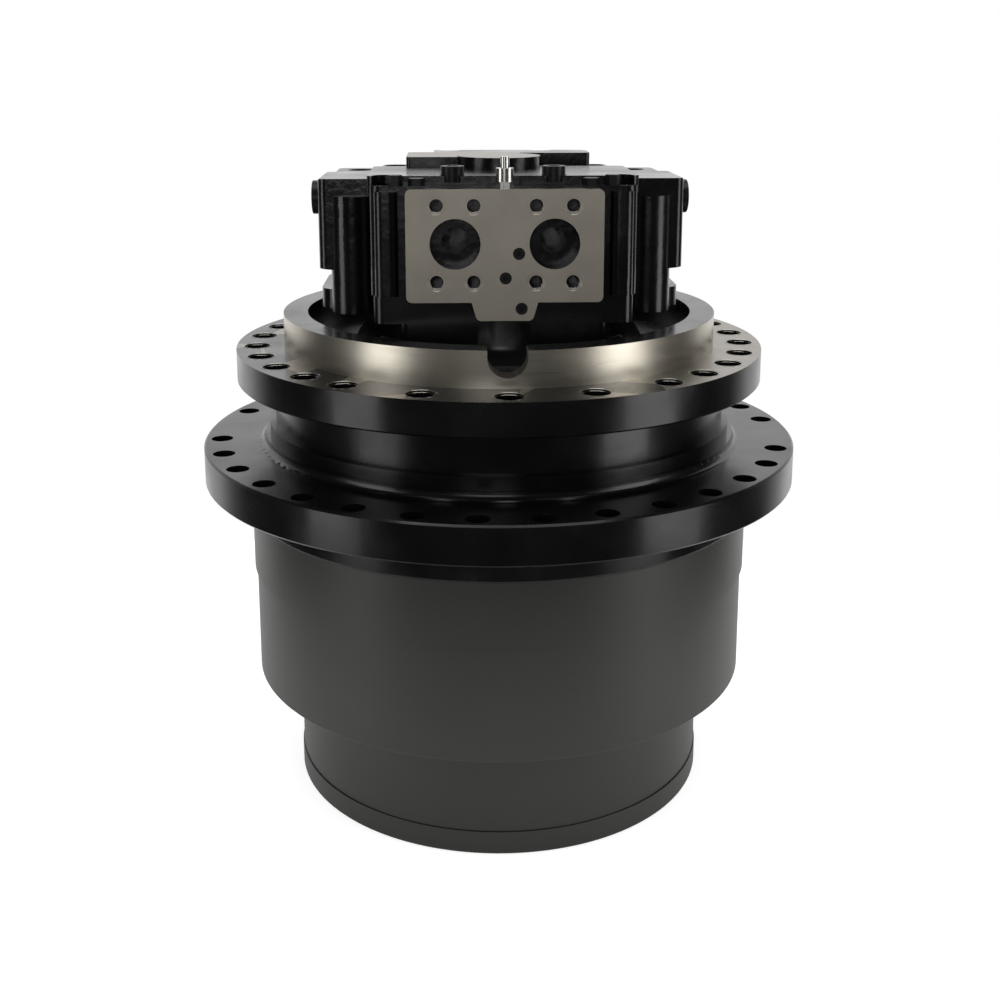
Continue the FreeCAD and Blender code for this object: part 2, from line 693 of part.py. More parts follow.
def roller_solid(low):
    """One taper roller, in the plane y = 0, touching both raceways but for its clearance."""
    w, rib = bearing_w, bearing_cone_rib
    z, sense = main_bearing(low)
    h0, h1 = rib + roller_wide_play, w - rib - roller_small_play
    inner = [raceway_small_r + raceway_slope * (w - rib - h) / (w - 2 * rib) for h in (h0, h1)]
    outer = [cup_small_r + cup_slope * (w - h) / (w - cup_set) for h in (h0, h1)]
    middle = [(i + o) / 2 for i, o in zip(inner, outer)]
    start = V(middle[0], 0, z + sense * h0)
    end = V(middle[1], 0, z + sense * h1)
    lean = (end - start).normalize()
    radii = [(o - i) / 2 * abs(lean.z) - roller_rest for i, o in zip(inner, outer)]
    return Part.makeCone(radii[0], radii[1], (end - start).Length, start, lean)


def make_main_rollers():
    result = []
    for low in (True, False):
        first = roller_solid(low)
        for a in around(rollers):
            roller = first.copy()
            roller.rotate(AXIS, UP, a)
            result.append(roller)
    return result


def make_bearing_nut():
    z1 = bearing_low_z - seat / 2
    z0 = z1 - nut_w
    nut = ring(nut_thread_r + thread_play, nut_r, z0, z1)
    slots = [box(nut_r - nut_slot_depth, nut_r + 1, -nut_slot_w / 2, nut_slot_w / 2, z0, z1)
             for _ in range(nut_slots)]
    for slot, a in zip(slots, around(nut_slots)):
        slot.rotate(AXIS, UP, a)
    return without(nut, slots)


def seal_ring(face_z, sense):
    """Metal ring of the floating seal; sense is +1 where its body rises from the sealing face."""
    back = face_z + sense * seal_ring_h
    lip = face_z + sense * seal_face_h
    neck = seal_cavity_r - 2 * seal_cord_r - 2 * fit
    return turned([(seal_inner_r, face_z), (seal_face_r, face_z), (seal_face_r, lip), (neck, lip),
                   (neck, back), (seal_inner_r, back)])


def toric_ring(face_z, sense):
    centre_r = seal_cavity_r - seal_cord_r - fit
    centre_z = face_z + sense * (seal_face_h + seal_cord_r + fit)
    return Part.makeTorus(centre_r, seal_cord_r, V(0, 0, centre_z), UP)


# ---- frame side ------------------------------------------------------------------------------------
def frame_hole_places():
    signed = sorted({s * a for a in frame_angles for s in (-1, 1) if abs(a) < 180} | {180})
    return [place(frame_circle_r, a) for a in signed]


def spindle_section():
    """Half section of the spindle, from its nose up the outside to the motor case and back inside."""
    cone_z = bearing_high_z + bearing_w
    stop_r = bearing_bore_r + bearing_stop
    room_r = seal_inner_r - seal_room
    flare_z = hub_top - flare_under
    cavity_z = flange_z + seal_cavity_high
    floor_z = flange_top + well_floor
    shaft_z = shaft_bearing_z - bearing_shoulder_h
    return [
        (oil_space_r, spindle_nose_z), (nose_spline_r, spindle_nose_z),
        (nose_spline_r, spindle_nose_z + nose_h), (nut_thread_r, spindle_nose_z + nose_h),
        (nut_thread_r, bearing_low_z), (bearing_bore_r, bearing_low_z), (bearing_bore_r, cone_z),
        (stop_r, cone_z), (stop_r, flare_z), (room_r, flare_z + flare_h), (room_r, cavity_z),
        (seal_cavity_r, cavity_z), (seal_cavity_r, flange_z), (flange_r - edge, flange_z),
        (flange_r, flange_z + edge), (flange_r, flange_top), (pilot_r, flange_top), (pilot_r, pilot_top),
        (pilot_bore_r, pilot_top), (pilot_bore_r, floor_z), (case_foot_r, floor_z),
        (case_r, floor_z + case_foot_h), (case_r, case_top), (brake_piston_bore_r, case_top),
        (brake_piston_bore_r, brake_piston_z), (brake_bore_r, brake_piston_z),
        (brake_bore_r, brake_floor_z), (motor_bore_r, brake_floor_z), (motor_bore_r, motor_floor_z),
        (shaft_bearing_outer_r, motor_floor_z), (shaft_bearing_outer_r, shaft_z), (seal_bore_r, shaft_z),
        (seal_bore_r, oil_space_top), (oil_space_r, oil_space_top),
    ]


def make_case_forms():
    """Cast outside of the motor case: the square flange, its ears, columns, front wall and lugs."""
    floor_z = flange_top + well_floor
    forms = [
        slab(case_step - block_x, block_x - case_step, case_step - wall_y, back_y - case_step,
             case_flange_z, case_top, corner_r),
        slab(case_step - neck_x, neck_x - case_step, case_step - neck_front, neck_back - case_step,
             case_flange_z, case_top, neck_corner),
        slab(-ear_x, ear_x, -ear_y, ear_y, case_flange_z, case_flange_z + ear_h, ear_corner),
        slab(-case_front_x, case_front_x, -case_front_y, 0, floor_z, case_flange_z, corner_r),
    ]
    lug_z = case_flange_z - case_lug_z
    for side in (-1, 1):
        x0, x1 = sorted((side * case_lug_x0, side * case_lug_x1))
        forms.append(slab(x0, x1, -wall_y, -wall_y / 2, lug_z, lug_z + case_lug_h, rib_corner))
        forms.append(rod(column_r, case_flange_z, case_top, side * column_x, -column_y))
    bore = rod(case_r - 1, floor_z, case_top)
    return [form.cut(bore) for form in forms]


def make_cradle_rails():
    """Two bearing rails in the case's floor that carry the swash plate's round back."""
    trough = Part.makeCylinder(cradle_r + apart, 2 * motor_bore_r, V(-motor_bore_r, 0, swash_z), V(1, 0, 0))
    rails = [box(x0, x0 + cradle_rail_w, -cradle_rail_y / 2, cradle_rail_y / 2, motor_floor_z,
                 cradle_rail_top)
             for x0 in (cradle_w / 2 - cradle_rail_w, -cradle_w / 2)]
    return [rail.cut(trough) for rail in rails]


def make_notch():
    """Round-bottomed notch through the front of the pilot ring, which clears the case behind it."""
    notch_z = pilot_top - notch_depth + notch_w / 2
    notch = Part.makeCylinder(notch_w / 2, pilot_r + 1, V(0, 0, notch_z), FRONT)
    slot = box(-notch_w / 2, notch_w / 2, -pilot_r - 1, 0, notch_z, pilot_top + 1)
    return notch.fuse(slot).cut(rod(pilot_bore_r - pilot_wall / 2, flange_top, case_top))


def make_spindle():
    nose_top = spindle_nose_z + nose_h
    spline = prism(spline_outline(nose_spline_teeth, nose_spline_r - 1, nose_spline_tip), spindle_nose_z,
                   nose_top)
    spline = spline.cut(rod(nose_spline_r - 1 + fit, spindle_nose_z, nose_top))
    boss = rod(control_boss_r, motor_floor_z, control_boss_top, 0, -control_y)
    spindle = joined([turned(spindle_section()), spline, boss] + make_case_forms() + make_cradle_rails())
    cutters = [rod(frame_hole_r, flange_z, flange_top, x, y) for x, y in frame_hole_places()]
    cutters += [rod(lug_r + apart, brake_floor_z, brake_piston_z, *place(lug_circle_r, a))
                for a in around(lugs, lug_first)]
    cutters.append(rod(control_r + fit, control_bottom_z - 1, control_boss_top, 0, -control_y))
    cutters.append(make_notch())
    cutters += [rod(block_screw["d"] / 2 + fit, case_flange_z, case_top, x, y)
                for x, y in block_screw_places()]
    return without(spindle, cutters)


def carrier_pillars(radius, at, z0, z1):
    pillars = []
    for i in range(planets):
        a = planet_direction(i) + math.pi / planets
        pillars.append(rod(radius, z0, z1, at * math.cos(a), at * math.sin(a)))
    return pillars


def make_carrier_2():
    low_z = planet_2_z - washer_h - washer_play - carrier_2_low_h
    low_top = low_z + carrier_2_low_h
    high_z = planet_2_z + planet_2_w + washer_h + washer_play
    high_top = high_z + carrier_2_high_h
    collar_top = spindle_nose_z + nose_h
    sun_tip = (sun_2_teeth / 2 + addendum) * module_2
    low = ring(sun_tip + sun_ring_play, carrier_2_r, low_z, low_top)
    high = ring(carrier_2_window_r, carrier_2_r, high_z, high_top)
    collar = rod(carrier_collar_r, high_top, collar_top)
    collar = collar.cut(prism(spline_outline(nose_spline_teeth, nose_spline_r + fit, nose_spline_tip + fit,
                                             fit), high_top, collar_top))
    collar = collar.cut(rod(nose_spline_r + fit, high_top, collar_top))
    carrier = joined([low, high, collar]
                     + carrier_pillars(pillar_2_r, carrier_2_r - pillar_2_in, low_top, high_z))
    holes = [rod(pin_2_r + fit, low_z, high_top, *planet_place(i, sun_2_teeth, planet_2_teeth, module_2))
             for i in range(planets)]
    return without(carrier, holes)


def make_carrier_1():
    low_z = planet_1_z - washer_h - washer_play - carrier_1_low_h
    low_top = low_z + carrier_1_low_h
    high_z = planet_1_z + planet_1_w + washer_h + washer_play
    high_top = high_z + carrier_1_high_h
    sun_tip = (sun_1_teeth / 2 + addendum) * module_1
    low = ring(sun_tip + sun_ring_play, carrier_1_r, low_z, low_top)
    high = rod(carrier_1_r, high_z, high_top)
    spline = tooth_outline(sun_2_teeth, module_2, sun_phase(sun_2_teeth, planet_2_teeth),
                           (sun_2_teeth / 2 - dedendum) * module_2 + fit,
                           (sun_2_teeth / 2 + addendum) * module_2 + fit, backlash - 2 * fit)
    high = high.cut(prism(spline, high_z, high_top))
    carrier = joined([low, high]
                     + carrier_pillars(pillar_1_r, carrier_1_r - pillar_1_in, low_top, high_z))
    holes = [rod(pin_1_r + fit, low_z, high_top, *planet_place(i, sun_1_teeth, planet_1_teeth, module_1))
             for i in range(planets)]
    return without(carrier, holes)


def stage(number):
    """(sun teeth, planet teeth, module, planet's low face, width, pin radius, bush radius, plates)"""
    if number == 1:
        return (sun_1_teeth, planet_1_teeth, module_1, planet_1_z, planet_1_w, pin_1_r, bush_1_r,
                carrier_1_low_h, carrier_1_high_h)
    return (sun_2_teeth, planet_2_teeth, module_2, planet_2_z, planet_2_w, pin_2_r, bush_2_r,
            carrier_2_low_h, carrier_2_high_h)


def make_planet_pins(number):
    sun, planet, module, z, width, pin, bush, low_h, high_h = stage(number)
    z0 = z - washer_h - washer_play - low_h
    z1 = z + width + washer_h + washer_play + high_h
    return [rod(pin, z0, z1, *planet_place(i, sun, planet, module)) for i in range(planets)]


def make_planet_bushes(number):
    sun, planet, module, z, width, pin, bush, low_h, high_h = stage(number)
    return [ring(pin + fit, bush - bush_gap, z, z + width, *planet_place(i, sun, planet, module))
            for i in range(planets)]


def make_thrust_washers(number):
    sun, planet, module, z, width, pin, bush, low_h, high_h = stage(number)
    washers = []
    for i in range(planets):
        x, y = planet_place(i, sun, planet, module)
        for z0 in (z - washer_play - washer_h, z + width + washer_play):
            washers.append(ring(pin + fit, bush + washer_wide, z0, z0 + washer_h, x, y))
    return washers


def make_sun_gear_2():
    top = planet_2_z + planet_2_w
    gear = spur_gear(sun_2_teeth, module_2, sun_phase(sun_2_teeth, planet_2_teeth), sun_2_z, top)
    return gear.cut(rod(sun_2_bore_r, sun_2_z, top))


def make_input_shaft():
    gear = spur_gear(sun_1_teeth, module_1, sun_phase(sun_1_teeth, planet_1_teeth), sun_1_z, sun_1_top)
    stem_top = shaft_bottom_z - 1
    stem = rod(stem_r - stem_waist, sun_1_top, stem_top)
    spline = prism(spline_outline(coupling_teeth, stem_r - stem_spline, coupling_bore_r - 1), stem_top,
                   coupling_bore_top - stem_end_play)
    return joined([gear, stem, spline])


# ---- motor -----------------------------------------------------------------------------------------
def make_motor_shaft():
    collar_z = shaft_bearing_z + shaft_bearing_w
    waist_z = block_top + block_under_top
    section = [
        (0, shaft_bottom_z), (coupling_r, shaft_bottom_z), (coupling_r, shaft_bearing_z - 1),
        (front_seat_r, shaft_bearing_z - 1), (front_seat_r, collar_z), (front_collar_r, collar_z),
        (front_collar_r, collar_z + front_collar_h), (shaft_r, collar_z + front_collar_h),
        (shaft_r, waist_z), (rear_seat_r, waist_z), (rear_seat_r, shaft_top_z), (0, shaft_top_z),
    ]
    socket = prism(spline_outline(coupling_teeth, stem_r - stem_spline + fit, coupling_bore_r - 1 + fit,
                                  fit), shaft_bottom_z, coupling_bore_top)
    return turned(section).cut(socket)


def shaft_bearing(inner, outer, z0, width):
    """(outer ring, inner ring, rollers) of a plain roller bearing on the shaft."""
    raceway_in, raceway_out = inner + race_h, outer - race_h
    middle = (raceway_in + raceway_out) / 2
    radius = (raceway_out - raceway_in) / 2 - 2 * fit
    turning = [rod(radius, z0 + shaft_roller_in, z0 + width - shaft_roller_in, *place(middle, a))
               for a in around(shaft_rollers)]
    return (ring(raceway_out, outer - fit, z0, z0 + width), ring(inner + fit, raceway_in, z0, z0 + width),
            turning)


def make_cylinder_block():
    block = rod(block_r, block_z, block_top)
    below, above = spline_over
    teeth = prism(spline_outline(block_spline_teeth, block_r - 1, block_spline_r), brake_floor_z - below,
                  brake_piston_z + above)
    block = block.fuse(teeth.cut(rod(block_r - 2, block_z, block_top)))
    cutters = [rod(shaft_r + fit, block_z, block_top)]
    for a in piston_angles():
        x, y = bore_place(a)
        cutters.append(rod(piston_r, block_z, bore_bottom_z, x, y))
        cutters.append(rod(kidney_w / 2, bore_bottom_z, block_top, x, y))
    return without(block, cutters)


def piston_angles():
    return around(pistons, piston_first)


def bore_place(angle):
    a = math.radians(angle)
    return piston_circle_r * math.cos(a), piston_circle_r * math.sin(a)


def make_pistons():
    rise = math.tan(math.radians(swash_angle))
    ball_share, barrel_share = ball_neck
    result = []
    for a in piston_angles():
        x, y = bore_place(a)
        z = swash_z + y * rise
        barrel_z = z + ball_r + neck_end - fit
        barrel = rod(piston_r - fit, barrel_z, z + piston_len, x, y)
        neck = Part.makeCone(ball_r * ball_share, piston_r * barrel_share, barrel_z - z - neck_start,
                             V(x, y, z + neck_start), UP)
        ball = Part.makeSphere(ball_r - fit, V(x, y, z))
        result.append(joined([barrel, neck, ball]))
    return result


def shoe_places():
    """Centres in the swash plate's own frame, so that each ball lies on its bore's line."""
    spread = 1 / math.cos(math.radians(swash_angle))
    return [(bore_place(a)[0], bore_place(a)[1] * spread) for a in piston_angles()]


def make_shoes():
    face_z = swash_z - swash_plane + fit
    result = []
    for x, y in shoe_places():
        shoe = rod(shoe_r, face_z, face_z + shoe_h, x, y)
        shoe = shoe.fuse(rod(shoe_cup_r, face_z + shoe_h, swash_z + shoe_over_ball, x, y))
        shoe = shoe.cut(Part.makeSphere(ball_r + fit, V(x, y, swash_z)))
        mouth = rod(shoe_cup_r * shoe_mouth, swash_z + shoe_over_ball - 1, swash_z + shoe_over_ball + 1, x, y)
        result.append(tilted(shoe.cut(mouth)))
    return result


def make_retainer():
    z0 = swash_z - swash_plane + fit + shoe_h + seat
    plate = rod(retainer_r, z0, z0 + retainer_h)
    cutters = [rod(shoe_cup_r + retainer_play, z0, z0 + retainer_h, x, y) for x, y in shoe_places()]
    cutters.append(Part.makeSphere(guide_r + apart, V(0, 0, swash_z)))
    return tilted(without(plate, cutters))


def make_ball_guide():
    ball = Part.makeSphere(guide_r, V(0, 0, swash_z))
    ball = ball.common(rod(guide_r + 1, swash_z - guide_top, swash_z + guide_top))
    sleeve = rod(guide_r - guide_wall, swash_z + guide_top - 2, block_z)
    return ball.fuse(sleeve).cut(rod(shaft_r + fit, swash_z - guide_r, block_z))


def make_swash_plate():
    face_z = swash_z - swash_plane
    back_z = swash_z - cradle_r
    cradle = Part.makeCylinder(cradle_r, cradle_w, V(-cradle_w / 2, 0, swash_z), V(1, 0, 0))
    cradle = cradle.common(rod(swash_r, back_z, face_z))
    plate = rod(swash_r, face_z - swash_plate_h, face_z)
    window = Part.makeCone(shaft_r + swash_window_low, shaft_r + swash_window_high, face_z - back_z,
                           V(0, 0, back_z), UP)
    return tilted(cradle.fuse(plate).cut(window))


def make_valve_plate():
    plate = ring(shaft_r + 2, valve_plate_r, block_top + seat, case_top)
    slots = []
    for side in (-1, 1):
        for a in kidney_angles:
            x, y = place(piston_circle_r, 90 * side + a)
            slots.append(rod(kidney_w / 2, block_top, case_top, x, y))
    return without(plate, slots)


def make_control_piston():
    """Its domed top stands just under the swash plate's rim."""
    tilt = math.radians(swash_angle)
    under = swash_z - control_y * math.tan(tilt) - (swash_plane + swash_plate_h) / math.cos(tilt)
    dome_z = under - control_r / math.cos(tilt) - apart
    return rod(control_r, control_bottom_z, dome_z, 0, -control_y).fuse(
        Part.makeSphere(control_r, V(0, -control_y, dome_z)))


# ---- brake -----------------------------------------------------------------------------------------
def plate_z(level):
    return brake_floor_z + level * (plate_h + seat)


def make_friction_discs():
    discs = []
    for i in range(friction_discs):
        z0 = plate_z(2 * i + 1)
        spline = prism(spline_outline(block_spline_teeth, block_r + apart, block_spline_r + apart, fit),
                       z0, z0 + plate_h)
        discs.append(rod(disc_outer_r, z0, z0 + plate_h).cut(spline.fuse(rod(block_r + apart, z0,
                                                                          z0 + plate_h))))
    return discs


def make_separator_plates():
    plates = []
    for i in range(friction_discs + 1):
        z0 = plate_z(2 * i)
        plate = rod(brake_bore_r - apart, z0, z0 + plate_h)
        ears = [rod(lug_r, z0, z0 + plate_h, *place(lug_circle_r, a)) for a in around(lugs, lug_first)]
        plates.append(joined([plate] + ears).cut(rod(separator_inner_r, z0, z0 + plate_h)))
    return plates


def make_brake_piston():
    nose_z = plate_z(2 * friction_discs + 1)
    low = brake_piston_z + apart
    high = low + brake_piston_h
    return turned([(brake_nose_inner_r, nose_z), (brake_nose_r, nose_z), (brake_nose_r, low),
                   (brake_piston_bore_r - fit, low), (brake_piston_bore_r - fit, high),
                   (brake_nose_inner_r, high)])


def make_brake_spring():
    """Cone-shaped disc spring between the brake piston and the valve block."""
    low = brake_piston_z + apart + brake_piston_h
    inner, outer = brake_nose_inner_r + spring_edge, brake_piston_bore_r - spring_out
    return turned([(inner, case_top - spring_h), (inner + spring_edge, case_top), (outer, low + spring_h),
                   (outer - spring_edge, low)])


# ---- valve block -----------------------------------------------------------------------------------
def block_screw_places():
    return [(side * x, -y) for x, y in block_screws for side in (-1, 1)]


def make_rear_cover():
    neck = slab(-neck_x, neck_x, -neck_front, neck_back, case_top, neck_z, neck_corner)
    forms = [
        slab(-block_x, block_x, -wall_y, back_y, case_top, block_top_z, corner_r), neck,
        slab(-rear_wing_x, rear_wing_x, -wing_mid, rear_wing_back, neck_z, block_top_z, wing_corner),
        slab(-plateau_x, plateau_x, -plateau_front, plateau_back, block_top_z - wing_corner, plateau_z,
             plateau_corner),
        rod(boss_r, block_top_z, boss_top), make_port_pad(),
    ]
    forms += [make_front_wing(side) for side in (-1, 1)]
    for side in (-1, 1):
        x0, x1 = sorted((side * rib_x0, side * rib_x1))
        forms.append(slab(x0, x1, -rib_front, -wall_y / 2, case_top, block_top_z - rib_under, rib_corner))
        forms.append(rod(column_r, case_top, wing_top - cap_r, side * column_x, -column_y))
    for (x0, x1, y0, y1), up in ((land_low, land_low_up), (land_high, land_high_up)):
        forms.append(slab(x0, x1, y0, y1, block_top_z - 1, block_top_z + up, land_corner))
    body = joined(forms)
    return without(body, [rod(rear_bearing_outer_r, case_top, rear_bearing_top)] + port_cutters()
                   + valve_bores() + top_cutters())


def make_front_wing(side):
    """Spool housing at one side of the block; its underside rises outwards."""
    inner, outer = side * (block_x - corner_r), side * wing_x
    points = [V(inner, -wing_front, neck_z - wing_slope), V(outer, -wing_front, neck_z + wing_slope / 2),
              V(outer, -wing_front, wing_top - edge), V(outer - side * edge, -wing_front, wing_top),
              V(inner, -wing_front, wing_top)]
    wing = Part.Face(Part.makePolygon(points + points[:1])).extrude(V(0, wing_front + wing_mid, 0))
    upright = [e for e in wing.Edges
               if abs(e.Vertexes[0].X - outer) < fit and abs(e.Vertexes[1].X - outer) < fit
               and abs(e.tangentAt(e.FirstParameter).z) > 0.99]
    return wing.makeFillet(wing_corner, upright)


def port_cutters():
    """The two flange ports, their chamfered bolt holes and the seats of the small plugs."""
    cutters = []
    for side in (-1, 1):
        x = side * port_x
        cutters.append(to_front(rod(port_r, 0, port_depth), x, port_z, -pad_y + port_depth))
        cutters.append(to_front(rod(core_r, 0, pad_y - core_end), x, port_z, -core_end))
        for i in (-1, 1):
            for j in (-1, 1):
                hole = rod(port_bolt_r, 0, port_bolt_depth)
                cutters.append(to_front(hole, x + i * port_bolt_x / 2, port_z + j * port_bolt_z / 2,
                                        -pad_y + port_bolt_depth))
    for x, dz in port_plugs:
        cutters.append(to_front(rod(port_plug_r, 0, port_plug_depth), x, port_z + dz,
                                -pad_y + port_plug_depth))
    return cutters


def valve_bores():
    """Bores of the counterbalance spool, the speed spool and the two relief valves."""
    spool_half = spool_len / 2 + spool_travel + spool_end_room
    cutters = [Part.makeCylinder(spool_r + fit, 2 * spool_half, V(-spool_half, -spool_y, spool_z),
                                 V(1, 0, 0)),
               Part.makeCylinder(speed_r + fit, speed_len + speed_travel + speed_end_room + 1,
                                 V(0, back_y, speed_z), FRONT)]
    for side in (-1, 1):
        cutters.append(Part.makeCylinder(cap_r, wing_x - spool_half, V(side * spool_half, -spool_y, spool_z),
                                         V(side, 0, 0)))
        cutters.append(Part.makeCylinder(relief_r, relief_len, V(side * relief_x, back_y, relief_z), FRONT))
    return cutters


def top_cutters():
    """Holes from above: block screws, top screws in their pockets, small plugs and bleed fitting."""
    seat_z = block_top_z - block_screw_sunk
    clear = boss_top + 1
    cutters = [rod(bleed_thread_r, pad_z1 - bleed_thread, pad_z1, 0, -bleed_y)]
    for side in (-1, 1):
        x = side * top_screw_x
        pocket_z = plateau_z - top_screw_sunk
        cutters.append(rod(top_screw["d"] / 2, pocket_z - top_screw_len, plateau_z, x, -top_screw_y))
        cutters.append(rod(top_screw["head_r"] + head_room, pocket_z, clear, x, -top_screw_y))
        for px, py, across, height in strip_plugs:
            cutters.append(rod(strip_plug_thread_r, block_top_z - strip_plug_thread, block_top_z,
                               side * px, -py))
    for x, y in block_screw_places():
        cutters.append(rod(block_screw["d"] / 2 + loose / 2, case_top, seat_z, x, y))
        cutters.append(rod(block_screw["head_r"] + 2 * head_room, seat_z, clear, x, y))
    return cutters


def make_port_pad():
    """Machined face with the flange ports, and the tongue below it."""
    plate = box(-pad_x, pad_x, -pad_y, -wall_y + 1, pad_z0, pad_z1)
    along_y = [e for e in plate.Edges if abs(e.tangentAt(e.FirstParameter).y) > 0.99]
    plate = plate.makeFillet(pad_corner, along_y)
    points = [V(-tongue_top_x, -pad_y, pad_z0 + pad_corner), V(tongue_top_x, -pad_y, pad_z0 + pad_corner),
              V(tongue_top_x, -pad_y, pad_z0), V(tongue_bottom_x, -pad_y, tongue_z),
              V(-tongue_bottom_x, -pad_y, tongue_z), V(-tongue_top_x, -pad_y, pad_z0)]
    tongue = Part.Face(Part.makePolygon(points + points[:1])).extrude(V(0, pad_y - wall_y - apart, 0))
    low_corners = [e for e in tongue.Edges if abs(e.tangentAt(e.FirstParameter).y) > 0.99
                   and abs(e.Vertexes[0].Z - tongue_z) < fit]
    return plate.fuse(tongue.makeFillet(pad_corner, low_corners))


def make_block_screws():
    tip_z = case_flange_z + 2 * screw_end_room
    head_z = block_top_z - block_screw_sunk + block_screw["head_h"]
    return [cap_screw(block_screw, head_z, tip_z, x, y, False) for x, y in block_screw_places()]


def make_gallery_plugs():
    """Plugs of the drilled oil galleries, and the two screws that stand in the block's top."""
    plugs = []
    for x, dz in port_plugs:
        top = port_plug_depth - 1
        plug = rod(port_plug_r - fit, 0, top).cut(hex_prism(port_plug_key, top / 2, top))
        plugs.append(to_front(plug, x, port_z + dz, -pad_y + port_plug_depth))
    for side in (-1, 1):
        pocket_z = plateau_z - top_screw_sunk
        thin = dict(top_screw, d=top_screw["d"] - 2 * fit)
        tip_z = pocket_z - top_screw_len + screw_end_room
        plugs.append(cap_screw(thin, pocket_z + top_screw["head_h"], tip_z, side * top_screw_x, -top_screw_y,
                               False))
        for px, py, across, height in strip_plugs:
            head = hex_prism(across, block_top_z, block_top_z + height, side * px, -py)
            shank = rod(strip_plug_thread_r - fit, block_top_z - strip_plug_thread + 1, block_top_z,
                        side * px, -py)
            plugs.append(head.fuse(shank))
    return plugs


def make_spool_cap(side):
    x0 = spool_len / 2 + spool_travel + spool_end_room + apart
    return Part.makeCylinder(cap_r - fit, wing_x + cap_out - x0, V(side * x0, -spool_y, spool_z),
                             V(side, 0, 0))


def make_counterbalance_spool():
    spool = Part.makeCylinder(spool_r, spool_len, V(-spool_len / 2, -spool_y, spool_z), V(1, 0, 0))
    grooves = []
    for x in spool_grooves:
        start = V(x - spool_groove_w / 2, -spool_y, spool_z)
        groove = Part.makeCylinder(spool_r + 1, spool_groove_w, start, V(1, 0, 0))
        core = Part.makeCylinder(spool_r - spool_groove_depth, spool_groove_w, start, V(1, 0, 0))
        grooves.append(groove.cut(core))
    return without(spool, grooves)


def make_speed_spool():
    start = V(0, back_y - speed_end_room - speed_travel, speed_z)
    return Part.makeCylinder(speed_r, speed_len, start, FRONT)


def make_speed_plug():
    shank = Part.makeCylinder(speed_r, speed_plug_in, V(0, back_y, speed_z), FRONT)
    head = to_front(hex_prism(speed_plug_hex, 0, speed_plug_h), 0, speed_z, back_y + speed_plug_h)
    return head.fuse(shank)


def make_relief_valve(side):
    x = side * relief_x
    shank = Part.makeCylinder(relief_r - fit, relief_len - 1, V(x, back_y, relief_z), FRONT)
    head = to_front(hex_prism(relief_hex, 0, relief_head_h), x, relief_z, back_y + relief_head_h)
    nose_y = back_y + relief_head_h + relief_nose_h
    nose = Part.makeCylinder(relief_nose_r, relief_nose_h, V(x, nose_y, relief_z), FRONT)
    return joined([shank, head, nose])


def make_bleed_fitting():
    knob_z = pad_z1 + bleed_hex_h
    stem_z = knob_z + bleed_knob_h
    base = hex_prism(bleed_hex, pad_z1, knob_z, 0, -bleed_y)
    knob = rod(bleed_knob_r, knob_z, stem_z, 0, -bleed_y)
    stem = rod(bleed_stem_r, stem_z, stem_z + bleed_stem_h, 0, -bleed_y)
    thread = rod(bleed_thread_r - fit, pad_z1 - bleed_thread + 1, pad_z1, 0, -bleed_y)
    return joined([base, knob, stem, thread])


